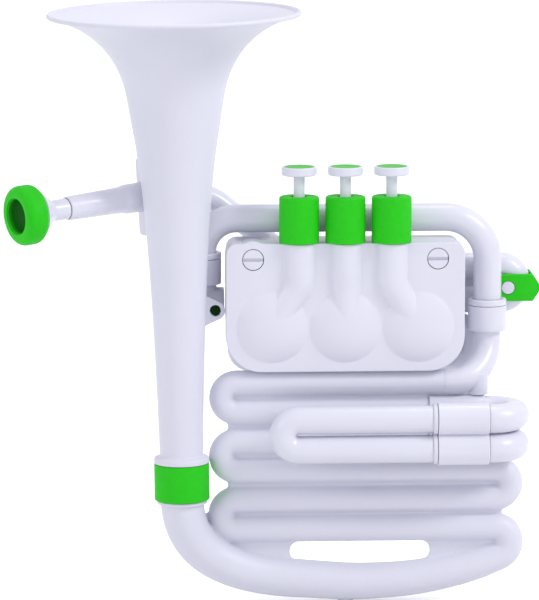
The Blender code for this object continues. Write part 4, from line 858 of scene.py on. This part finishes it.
def buildBracket():
    outline = rectangle(-bracket["half"], bracket["low"], bracket["half"], bracket["high"], bracket["corner"])
    plate = outlinePlate(softLoop(outline), -bracket["thick"], 0.0, bracket["edge"])
    centre = Vector(lead["mouth"]) + leadHeading * bracket["at"]
    bmesh.ops.transform(plate, verts=plate.verts,
                        matrix=Matrix.Translation(centre) @ leadTurn @ Matrix.Rotation(quarter, 4, "Z"))
    hole = rod(bracket["hole"], -30.0, 30.0, axisMatrix(centre, leadHeading))
    finishPiece(carved(plate, cut(hole), cut(bellCutter(0.3))), "pipeBracket", "leadpipe_bracket")


mouth = {"spigot": 6.0, "spigotTop": 23.2, "back": 20.6, "shoulder": 14.5, "neck": 6.3, "coneEnd": 10.4,
         "coneCurve": 1.1, "seat": 0.3, "shankStart": 5.6, "shankEnd": 5.2, "shankLength": 26.0, "bore": 2.4,
         "rimBack": 20.9, "rimFront": 35.2, "rimRadius": 17.9, "rimEdge": 4.6, "cup": 10.5, "step": 1.2,
         "floor": 25.0}


def buildMouthpiece():
    place = axisMatrix(lead["mouth"], -leadHeading)
    back, low, bore, neck = mouth["back"], mouth["coneEnd"], mouth["bore"], mouth["neck"]
    shank, tip, seat = mouth["shankEnd"], mouth["shankLength"], mouth["seat"]
    cone = [(neck + (mouth["shoulder"] - neck) * (i / 12) ** mouth["coneCurve"], low + (back - low) * i / 12)
            for i in range(12, -1, -1)]
    profile = [(bore, mouth["spigotTop"]), (mouth["spigot"], mouth["spigotTop"]), (mouth["spigot"], back),
               (cone[0][0] - 0.5, back), (cone[0][0], back - 0.5), *cone[1:], (neck, seat + 0.4),
               (neck - 0.4, seat), (mouth["shankStart"], seat), (shank, 0.5 - tip), (shank - 0.5, -tip),
               (bore, -tip)]
    finishPiece(turned(profile, place), "mouthpieceStem", "mouthpiece", body="mouthpiece_piece")
    front, edge, radius, cup = mouth["rimFront"], mouth["rimEdge"], mouth["rimRadius"], mouth["cup"]
    seat, ledge = mouth["spigotTop"] + 0.3, front - mouth["step"]
    bowl = [(bore + (cup - bore) * math.sin(a), ledge - (ledge - mouth["floor"]) * math.cos(a))
            for a in (math.radians(6.0 * i) for i in range(16))]
    outer = softLine([(neck, mouth["rimBack"], 0), (radius, mouth["rimBack"], edge), (radius, front, edge),
                      (cup + 0.5, front, 0.4), (cup + 0.5, ledge, 0.2), (cup, ledge, 0)], 12.0)
    profile = outer[:-1] + bowl[::-1] + [(bore, seat), (neck, seat)]
    # the rim's cup carries a painted shadow in its colour
    finishPiece(turned(profile, place, 96), "mouthpieceRim", "mouthpiece_rim", finish="greenWithPaintedCupShadow",
                body="mouthpiece_piece")


buildLeadpipe()
buildBracket()
buildMouthpiece()
print("mouthpiece and leadpipe made")


# Pipes behind the valves, and the water key

rear = {"plane": 46.5, "tube": 8.5, "bore": 6.4, "bend": 10.0, "seam": 63.7, "upperZ": 54.0, "lowerZ": 34.0,
        "upperStart": -12.0, "socketBore": 7.3, "socketDepth": 14.3, "bowX": 107.5, "pivot": (101.4, 42.2),
        "boss": 4.0, "bossReach": ((35.0, 41.8), (51.2, 58.0)), "drain": 2.2, "inletX": 44.0, "seat": 34.3,
        "loop": 7.3, "loopBore": 5.0, "loopX": (24.0, -61.8, 78.6, 46.0), "loopZ": (18.2, -2.4),
        "loopEndBend": 8.5, "loopBend": 6.8, "webEnd": 84.0, "webHalf": 1.5, "gap": 0.3, "pathEnd": 999.0}


def buildRearPipes():
    y, high, low, seam = rear["plane"], rear["upperZ"], rear["lowerZ"], rear["seam"]
    tube, bore, depth, seat = rear["tube"], rear["bore"], rear["socketDepth"], rear["seat"]
    stepped = [(0.0, rear["socketBore"]), (depth, rear["socketBore"]), (depth + 0.5, bore),
               (rear["pathEnd"], bore)]
    straight = [Vector((rear["upperStart"], y, high)), Vector((seam, y, high))]
    finishPiece(sweptPipe(straight, tube, stepped, lip=0.3), "rearUpperPipe", "rear_upper_tube")
    elbow = bentPath([(seam, y, low), (rear["inletX"], y, low), (rear["inletX"], seat, low)], [rear["bend"]],
                     5.0)
    finishPiece(sweptPipe(elbow, tube, bore, lip=0.3), "inletElbow", "inlet_elbow")
    x, start, end = rear["bowX"], seam + rear["gap"], seam + 1.0
    path = bentPath([(start, y, high), (x, y, high), (x, y, low), (start, y, low)], [rear["bend"]] * 2, 5.0)
    web = outlinePlate(rectangle(end, low, rear["webEnd"], high), y - rear["webHalf"],
                       y + rear["webHalf"], 0.3)
    pivotX, pivotZ = rear["pivot"]
    bosses = [join(rod(rear["boss"], 0.0, far - near, alongY(pivotX, near, pivotZ), 48, 0.5))
              for near, far in rear["bossReach"]]
    drain = rod(rear["drain"], 0.0, 20.0, axisMatrix((x, y, (high + low) / 2), (1, 0, 0)), 32)
    finishPiece(carved(sweptPipe(path, tube, lip=0.3), join(web), *bosses, cut(plainRod(runPast(path), bore)),
                       cut(drain)), "waterKeyBow", "water_key_bow")
    first, left, right, last = rear["loopX"]
    upper, lower = rear["loopZ"]
    path = bentPath([(first, seat, upper), (first, y, upper), (left, y, upper), (left, y, lower),
                     (right, y, lower), (right, y, upper), (last, y, upper), (last, seat, upper)],
                    [rear["loopEndBend"], *[rear["loopBend"]] * 4, rear["loopEndBend"]], 5.0)
    finishPiece(sweptPipe(path, rear["loop"], rear["loopBore"], 48, 0.3), "valveLoop", "valve_loop")


strap = {"left": 95.5, "right": 120.9, "low": 33.9, "high": 50.4, "cornerCut": 3.2, "sideChamfer": 4.2,
         "endChamfer": 6.6, "half": 11.5, "hollow": 19.1, "hollowAt": (97.5, 44.0), "hollowHalf": 9.1,
         "pinHole": 4.3}


def buildStrap():
    left, right, low, high = strap["left"], strap["right"], strap["low"], strap["high"]
    side, end, corner, y = strap["sideChamfer"], strap["endChamfer"], strap["cornerCut"], rear["plane"]
    outline = softLoop([(left, low + corner, 0.6), (left + corner, low, 0.6), (right - side, low, 1.5),
                        (right, low + end, 1.5), (right, high - end, 1.5), (right - side, high, 1.5),
                        (left, high, 1.2)])
    block = outlinePlate(outline, y - strap["half"], y + strap["half"], 0.8)
    x, z = strap["hollowAt"]
    half = strap["hollowHalf"]
    hollow = rod(strap["hollow"], 0.0, 2 * half, alongY(x, y - half, z), 96, 0.6)
    pivotX, pivotZ = rear["pivot"]
    pin = rod(strap["pinHole"], 0.0, 40.0, alongY(pivotX, y - 20.0, pivotZ), 48)
    finishPiece(carved(block, cut(hollow), cut(pin)), "waterKeyStrap", "water_key_strap",
                finish="greenMatte", body="water_key_clip")


buildRearPipes()
buildStrap()
print("rear pipes made")


# Valve cover and the housing behind it

cover = {"half": 71.9, "low": -2.6, "high": 75.5, "topCorner": 6.6, "bottomCorner": 21.6, "seam": 14.0,
         "wall": 2.4, "edge": 0.6, "columns": 360, "rows": 196, "innerColumns": 96, "innerRows": 52,
         "domes": (-44.0, 0.0, 44.0), "domeZ": 24.6, "domeHeight": 5.5, "domeBall": 45.16, "domeReach": 27.6,
         "channels": (-27.8, 0.0, 27.8), "channelReach": 30.0, "channelRadius": 10.0, "channelBend": 20.0,
         "axisY": 4.0, "turnZ": 51.0, "sinkFrom": 34.0, "sinkTo": 21.6, "sinkDepth": 1.03,
         "flatBlend": 0.12, "domeBlend": 0.10, "bumpX": -55.6, "bumpRise": 1.4, "bumpHalf": 6.5,
         "bumpFrom": 66.0, "rodHole": 2.9}


def coverPoint(u, v, inset):
    # (x, z) on the panel for u from -1 to 1 and v from 0 to 1, drawn in by an inset
    half, low, high = cover["half"] - inset, cover["low"] + inset, cover["high"] - inset
    x, z = u * half, low + v * (high - low)
    for corner, fromEdge, up in ((cover["bottomCorner"] - inset, z - low, -1),
                                 (cover["topCorner"] - inset, high - z, 1)):
        a = 1 - (half - abs(x)) / corner
        b = 1 - fromEdge / corner
        if a > 0 and b > 0:
            x = math.copysign(half - corner + corner * a * math.sqrt(1 - b * b / 2), x)
            rounded = corner - corner * b * math.sqrt(1 - a * a / 2)
            z = low + rounded if up < 0 else high - rounded
            break
    near = max(0.0, 1 - ((x - cover["bumpX"]) / cover["bumpHalf"]) ** 2)
    rise = max(0.0, (z - cover["bumpFrom"]) / (cover["high"] - cover["bumpFrom"]))
    return x, z + cover["bumpRise"] * near * near * rise * rise


def smoothMax(a, b, blend):
    # the higher of two, eased over by the blend where they are close
    overlap = max(blend - abs(a - b), 0.0) / blend
    return max(a, b) + overlap * overlap * blend / 4


def channelPath(x, domeX):
    # the middle line of a valve's channel, from the cover's top edge to its dome
    path = bentPath([(x, 0.0, cover["high"] + 5.0), (x, 0.0, cover["turnZ"]), (domeX, 0.0, cover["domeZ"])],
                    [cover["channelBend"]], 4.0)
    return [(p.x, p.z) for p in path]


channelPaths = [channelPath(x, domeX) for x, domeX in zip(cover["channels"], cover["domes"])]


def nearestOn(path, x, z):
    # squared distance from a place to the nearest point of a path
    found = []
    for (x0, z0), (x1, z1) in zip(path, path[1:]):
        dx, dz = x1 - x0, z1 - z0
        t = min(1.0, max(0.0, ((x - x0) * dx + (z - z0) * dz) / (dx * dx + dz * dz)))
        found.append((x - x0 - t * dx) ** 2 + (z - z0 - t * dz) ** 2)
    return min(found)


def coverRelief(x, z):
    # how far the panel's face stands forward of its flat at one place
    height, ball, radius = 0.0, cover["domeBall"], cover["channelRadius"]
    fromDomes = [math.hypot(x - domeX, z - cover["domeZ"]) for domeX in cover["domes"]]
    for fromDome in fromDomes:
        if fromDome < cover["domeReach"]:
            dome = math.sqrt(ball * ball - fromDome ** 2) - ball + cover["domeHeight"]
            height = smoothMax(height, dome, cover["flatBlend"])
    for channelX, path, fromDome in zip(cover["channels"], channelPaths, fromDomes):
        if abs(x - channelX) > cover["channelReach"]:
            continue
        away = nearestOn(path, x, z)
        if away < radius * radius:
            t = (cover["sinkFrom"] - fromDome) / (cover["sinkFrom"] - cover["sinkTo"])
            t = min(1.0, max(0.0, t))
            crown = math.sqrt(radius * radius - away) - cover["axisY"]
            height = smoothMax(height, crown - cover["sinkDepth"] * t * t * (3 - 2 * t), cover["domeBlend"])
    return height


def panelSkin(columns, rows, inset, edge, wall):
    # a relief grid with its border carried round the edge and back to the seam
    bm = bmesh.new()
    place = bm.verts.layers.float_vector.new("place")
    bmesh.ops.create_grid(bm, x_segments=columns, y_segments=rows, size=1.0)
    for vert in bm.verts:
        vert[place] = Vector((vert.co.x, (vert.co.y + 1) / 2, 0.0))

    def settle(verts, sine, cosine):
        for vert in verts:
            x, z = coverPoint(vert[place].x, vert[place].y, inset + edge * (1 - sine))
            vert.co = Vector((x, wall - coverRelief(x, z) + edge * (1 - cosine), z))

    settle(bm.verts, 0.0, 1.0)
    border = [e for e in bm.edges if e.is_boundary]
    steps = 5 if edge > 0.0 else 0
    for i in range(1, steps + 1):
        angle = quarter * i / steps
        verts, border = newVertsAndEdges(bmesh.ops.extrude_edge_only(bm, edges=border))
        settle(verts, math.sin(angle), math.cos(angle))
    verts, border = newVertsAndEdges(bmesh.ops.extrude_edge_only(bm, edges=border))
    for vert in verts:
        vert.co.y = cover["seam"]
    return bm


def buildCover():
    outer = panelSkin(cover["columns"], cover["rows"], 0.0, cover["edge"], 0.0)
    inner = panelSkin(cover["innerColumns"], cover["innerRows"], cover["wall"], 0.0, cover["wall"])
    panel = joinedMeshes(outer, inner)
    bmesh.ops.bridge_loops(panel, edges=[e for e in panel.edges if e.is_boundary])
    tidied(panel)
    places = [(side * lock["x"], lock["z"]) for side in (-1, 1)]
    bosses = [join(rod(lock["boss"], 0.0, lock["bossDeep"], alongY(x, 1.6, z), 64)) for x, z in places]
    wells = [cut(rod(lock["well"], -3.0, lock["depth"], alongY(x, 0.0, z), 96)) for x, z in places]
    shafts = [cut(rod(lock["shaftHole"], -3.0, 12.0, alongY(x, 0.0, z), 32)) for x, z in places]
    rods = [cut(rod(cover["rodHole"], cover["high"] - 6.0, cover["high"] + 6.0,
                    Matrix.Translation((x, cover["axisY"], 0.0)), 32)) for x in cover["channels"]]
    finishPiece(carved(panel, *bosses, *wells, *shafts, *rods), "valveCover", "valve_cover", crease=40.0)


housing = {"front": 14.3, "back": 34.0, "edge": 1.6, "sidesIn": 1.1, "chamber": 17.5, "chamberWall": 2.2,
           "spindle": 3.3}


def panelLoop(inset, sidesIn=0.0):
    half, low, high = cover["half"] - inset - sidesIn, cover["low"] + inset, cover["high"] - inset
    top, bottom = cover["topCorner"] - inset, cover["bottomCorner"] - inset
    return softLoop([(-half, low, bottom), (half, low, bottom), (half, high, top), (-half, high, top)], 6.0)


def buildHousing():
    # a hollow box with a round chamber behind each dome
    front, back, wall, chamber = housing["front"], housing["back"], cover["wall"], housing["chamber"]
    shell = outlinePlate(panelLoop(0.0, housing["sidesIn"]), front, back)
    rims = [e for e in shell.edges if e.verts[0].co.y > back - 0.1 and e.verts[1].co.y > back - 0.1]
    bmesh.ops.bevel(shell, geom=rims, offset=housing["edge"], offset_type="OFFSET", segments=4, profile=0.5,
                    affect="EDGES", material=-1)
    steps = [cut(outlinePlate(panelLoop(wall), front - 2.0, back - wall))]
    reach = back - wall - front
    for x in cover["domes"]:
        place = alongY(x, front + 1.0, cover["domeZ"])
        steps += [join(rod(chamber + housing["chamberWall"], 0.0, reach, place, 72)),
                  cut(rod(chamber, -3.0, reach - 1.5, place, 72)),
                  cut(rod(housing["spindle"], -3.0, reach + 9.0, place, 32))]
    finishPiece(carved(shell, *steps), "valveHousing", "valve_housing")


lock = {"x": 55.6, "z": 65.8, "head": 6.2, "headDeep": 3.7, "slotWide": 2.0, "slotDeep": 1.6, "shaft": 2.1,
        "shaftEnd": 19.8, "well": 6.6, "depth": 4.0, "shaftHole": 2.4, "boss": 8.9, "bossDeep": 5.2,
        "cam": (3.4, 10.0, 2.2)}


def buildLock(name, side):
    # a slotted head in its well, with a shaft that turns a cam behind the cover
    x, z, deep, end = side * lock["x"], lock["z"], lock["headDeep"], lock["shaftEnd"]
    head = turned(softLine([(0, end, 0), (lock["shaft"], end, 0.2), (lock["shaft"], deep, 0.1),
                            (lock["head"], deep, 0.2), (lock["head"], 0.0, 0.5), (0, 0, 0)]),
                  alongY(x, 0.0, z), closed=False)
    half = lock["slotWide"] / 2
    slot = outlinePlate(rectangle(x - 8, z - half, x + 8, z + half), -1.0, lock["slotDeep"])
    wide, high, thick = lock["cam"]
    cam = outlinePlate(rectangle(x - wide / 2, z - high + 2, x + wide / 2, z + 2), end - thick, end - 0.05,
                       0.3)
    finishPiece(carved(head, cut(slot), join(cam)), "coverLock" + name.capitalize(), "cover_lock_" + name,
                body="lock_" + name)


buildCover()
buildHousing()
for name, side in (("left", -1), ("right", 1)):
    buildLock(name, side)
print("valve cover and housing made")


# Valves: guide caps, buttons and plungers

valve = {"y": 4.0, "capLow": 75.8, "capHigh": 103.6, "cap": 12.0, "capWall": 2.4, "capRoof": 3.0,
         "capEdge": 1.3, "mouth": 4.8, "mouthDepth": 1.4, "hole": 3.75, "buttonLow": 116.4,
         "buttonHigh": 121.6, "button": 10.7, "recess": 9.2, "recessDepth": 1.5, "stemHole": 3.6,
         "inlay": 8.9, "inlayLow": 120.4, "dish": 0.4, "stem": 3.42, "stemTop": 118.2, "stemLow": 100.3,
         "head": 7.3, "headLow": 96.5, "rod": 2.5, "rodLow": 66.0, "bar": (4.6, 7.4, 26.05, 68.5),
         "barHalf": 3.0, "yoke": (26.05, 35.65), "yokeSlot": (28.25, 33.45), "crank": 6.364,
         "crankPin": 2.6, "throw": 9.0, "spring": 5.0, "springWire": 0.5, "springTurns": 6, "travel": 12.5}


def buildValve(number):
    # the cap is fixed; the button, its inlay and the plunger move together
    x = cover["channels"][number - 1]
    place, mover = Matrix.Translation((x, valve["y"], 0.0)), "valve_button_%d" % number
    low, high, radius = valve["capLow"], valve["capHigh"], valve["cap"]
    inside, roof, ledge = radius - valve["capWall"], high - valve["capRoof"], high - valve["mouthDepth"]
    cap = softLoop([(inside, low, 0.2), (radius, low, 0.4), (radius, high, valve["capEdge"]),
                    (valve["mouth"], high, 0.3), (valve["mouth"], ledge, 0.1), (valve["hole"], ledge, 0.2),
                    (valve["hole"], roof, 0.1), (inside, roof, 0.5)])
    finishPiece(turned(cap, place, 96), "guideCap%d" % number, "guide_cap_%d" % number, finish="greenMatte")
    low, high, radius, recess = valve["buttonLow"], valve["buttonHigh"], valve["button"], valve["recess"]
    floor, hole = high - valve["recessDepth"], valve["stemHole"]
    button = softLoop([(hole, low, 0.2), (radius, low, 0.9), (radius, high, 0.8), (recess, high, 0.25),
                       (recess, floor, 0.1), (hole, floor, 0.1)])
    finishPiece(turned(button, place, 96), "fingerButton%d" % number, "finger_button_%d" % number, body=mover)
    radius, low, dish = valve["inlay"], valve["inlayLow"], valve["dish"]
    face = [(radius * i / 12, high - dish * math.cos(quarter * i / 12)) for i in range(12)]
    inlay = [(0.0, low), (radius, low), (radius, high - 0.25), (radius - 0.25, high), *face[::-1]]
    finishPiece(turned(inlay, place, 96, closed=False), "buttonInlay%d" % number, "button_inlay_%d" % number,
                finish="greenInlay", body=mover)
    finishPiece(plunger(number, x, place), "valvePlunger%d" % number, "valve_plunger_%d" % number, body=mover)


def plunger(number, x, place):
    # a stem with its head and rod, and the slotted yoke that turns the rotor's crank
    stem, head, thin = valve["stem"], valve["head"], valve["rod"]
    top, shoulder, under, end = valve["stemTop"], valve["stemLow"], valve["headLow"], valve["rodLow"]
    shaft = turned(softLine([(0, top, 0), (stem, top, 0.3), (stem, shoulder, 0), (head, shoulder, 0.5),
                             (head, under, 0.5), (thin, under, 0.3), (thin, end, 0.3), (0, end, 0)]),
                   place, 64, closed=False)
    near, far, low, high = valve["bar"]
    half, pin, side = valve["barHalf"], valve["crankPin"], -1 if number == 3 else 1
    centre = cover["domes"][number - 1]
    slotNear, slotFar = sorted((centre + side * (valve["crank"] - pin),
                                centre + side * (valve["throw"] + pin)))
    yokeLow, yokeHigh = valve["yoke"]
    slotLow, slotHigh = valve["yokeSlot"]
    rim = yokeHigh - slotHigh
    left, right = min(slotNear - rim, x - half), max(slotFar + rim, x + half)
    bar = outlinePlate(rectangle(x - half, low, x + half, high), near, far, 0.3)
    yoke = outlinePlate(rectangle(left, yokeLow + 0.02, right, yokeHigh), near + 0.02, far - 0.02, 0.3)
    slot = outlinePlate(softLoop(rectangle(slotNear, slotLow, slotFar, slotHigh, 2.2)), near - 2.0, far + 2.0)
    return carved(shaft, join(bar), join(yoke), cut(slot))


def buildSpring(number, x):
    # a coil under the plunger's head
    low, high = (corner[2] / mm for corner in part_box("return_spring_%d" % number))
    radius, wire, steps = valve["spring"], valve["springWire"], valve["springTurns"] * 24
    path = [Vector((x + radius * math.cos(math.tau * i / 24),
                    valve["y"] + radius * math.sin(math.tau * i / 24),
                    low + wire + (high - low - 2 * wire) * i / steps)) for i in range(steps + 1)]
    spring = finishPiece(sweptPipe(path, wire, None, 12, 0.15), "returnSpring%d" % number,
                         "return_spring_%d" % number, finish="springSteel")
    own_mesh(spring)


for number in (1, 2, 3):
    buildValve(number)
    buildSpring(number, cover["channels"][number - 1])
print("valves made")


# Brace between the bell and the housing, with its bush of dark rubber whose near-black tone also paints the
# shade in the brace's hole

brace = {"front": 7.0, "back": 10.0, "z": 34.1, "halfBase": 10.3, "waistX": -86.2, "tipX": -78.0,
         "tip": 5.8, "swing": 60, "rightLimit": -72.2, "hole": 3.5, "bush": 3.2, "bushFront": 7.8}


def buildBrace():
    x, z, radius = brace["tipX"], brace["z"], brace["tip"]
    tip = [(x + radius * math.cos(math.radians(a)), z + radius * math.sin(math.radians(a)))
           for a in range(-brace["swing"], brace["swing"] + 1, 6)]
    tip = [(min(a, brace["rightLimit"]), b) for a, b in tip]
    base, waist, half = bell["base"][0], brace["waistX"], brace["halfBase"]
    outline = [(base, z - half - 2.0), (waist, z - half - 1.0), (waist + 3.2, z - half + 1.6), *tip,
               (waist + 3.2, z + half - 1.6), (waist, z + half + 1.0), (base, z + half + 2.0)]
    front, back, inside = brace["front"], brace["back"], brace["bushFront"]
    plate = outlinePlate(outline, front, back, 0.35)
    hole = rod(brace["hole"], -6.0, 6.0, alongY(x, front, z))
    finishPiece(carved(plate, cut(hole), cut(bellCutter(0.3))), "bellBrace", "bell_brace")
    bush = rod(brace["bush"], 0.0, back - inside, alongY(x, inside, z), edge=0.3)
    # the bush's near-black colour is dark rubber together with painted shade in the hole
    finishPiece(bush, "braceBush", "brace_bush", finish="darkRubberPaintedShade")


buildBrace()
print("brace made")


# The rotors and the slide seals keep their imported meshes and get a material

def dressKept(stem, numbers, finish):
    for number in numbers:
        node = bpy.data.objects["%s_%s" % (stem, number)]
        node.data.materials.clear()
        node.data.materials.append(finishes[finish]["material"])


dressKept("valve_rotor", (1, 2, 3), "whiteSatin")
dressKept("slide_seal", ("left", "right"), "darkRubberPaintedShade")
print("hidden parts dressed")


# Floor, lights and world

stage = {"floorSize": 9.0, "floorColour": (0.86, 0.86, 0.86, 1), "floorGlow": 0.46, "ambient": 0.775,
         "ambientColour": (0.925, 0.925, 1.0, 1), "aimHeight": 0.17,
         "lights": [("key", (2.3, -1.3, 2.2), (0.9, 0.9), 42.0),
                    ("left", (-2.2, -1.4, 1.2), (1.4, 1.4), 10.5),
                    ("top", (0.2, 0.5, 2.6), (1.2, 0.8), 9.5)]}


def seenByCamera(tree):
    # 1 for rays from the camera, mirrors and clear bodies, 0 for the light that falls on things
    path = tree.nodes.new("ShaderNodeLightPath")
    direct = mathNode(tree, "MAXIMUM", path.outputs["Is Camera Ray"], path.outputs["Is Glossy Ray"])
    return mathNode(tree, "MAXIMUM", direct, path.outputs["Is Transmission Ray"])


def buildFloor(low):
    bm = bmesh.new()
    bmesh.ops.create_grid(bm, x_segments=2, y_segments=2, size=stage["floorSize"] / 2)
    bmesh.ops.translate(bm, vec=(0.0, 0.0, low), verts=bm.verts)
    floor = placed("floor", meshOf(bm, "floor"))
    material = bpy.data.materials.new("floorPaper")
    material.use_nodes = True
    tree = material.node_tree
    shader = tree.nodes["Principled BSDF"]
    glow = mathNode(tree, "MULTIPLY", seenByCamera(tree), stage["floorGlow"])
    for label, value in (("Base Color", stage["floorColour"]), ("Roughness", 0.9),
                         ("Specular IOR Level", 0.1), ("Emission Color", (1, 1, 1, 1)),
                         ("Emission Strength", glow)):
        link(tree, value, shader.inputs[label])
    floor.data.materials.append(material)


def buildWorld():
    world = bpy.data.worlds.new("studio")
    world.use_nodes = True
    tree = world.node_tree
    tree.nodes.clear()
    seen, lit = tree.nodes.new("ShaderNodeBackground"), tree.nodes.new("ShaderNodeBackground")
    mix, output = tree.nodes.new("ShaderNodeMixShader"), tree.nodes.new("ShaderNodeOutputWorld")
    for source, target in (((1, 1, 1, 1), seen.inputs["Color"]),
                           (stage["ambientColour"], lit.inputs["Color"]),
                           (stage["ambient"], lit.inputs["Strength"]),
                           (seenByCamera(tree), mix.inputs[0]), (lit.outputs[0], mix.inputs[1]),
                           (seen.outputs[0], mix.inputs[2]), (mix.outputs[0], output.inputs["Surface"])):
        link(tree, source, target)
    bpy.context.scene.world = world


def placeLights(low):
    target = Vector((0.0, 0.0, low + stage["aimHeight"]))
    for name, position, size, power in stage["lights"]:
        lamp = placed(name, bpy.data.lights.new(name, "AREA"))
        lamp.data.shape, lamp.data.size, lamp.data.size_y = "RECTANGLE", *size
        lamp.data.energy = power
        lamp.location = position
        lamp.rotation_euler = (target - lamp.location).to_track_quat("-Z", "Y").to_euler()


buildFloor(cadBox[0][2])
buildWorld()
placeLights(cadBox[0][2])
bpy.context.scene.view_settings.view_transform = "Standard"
print("stage set")
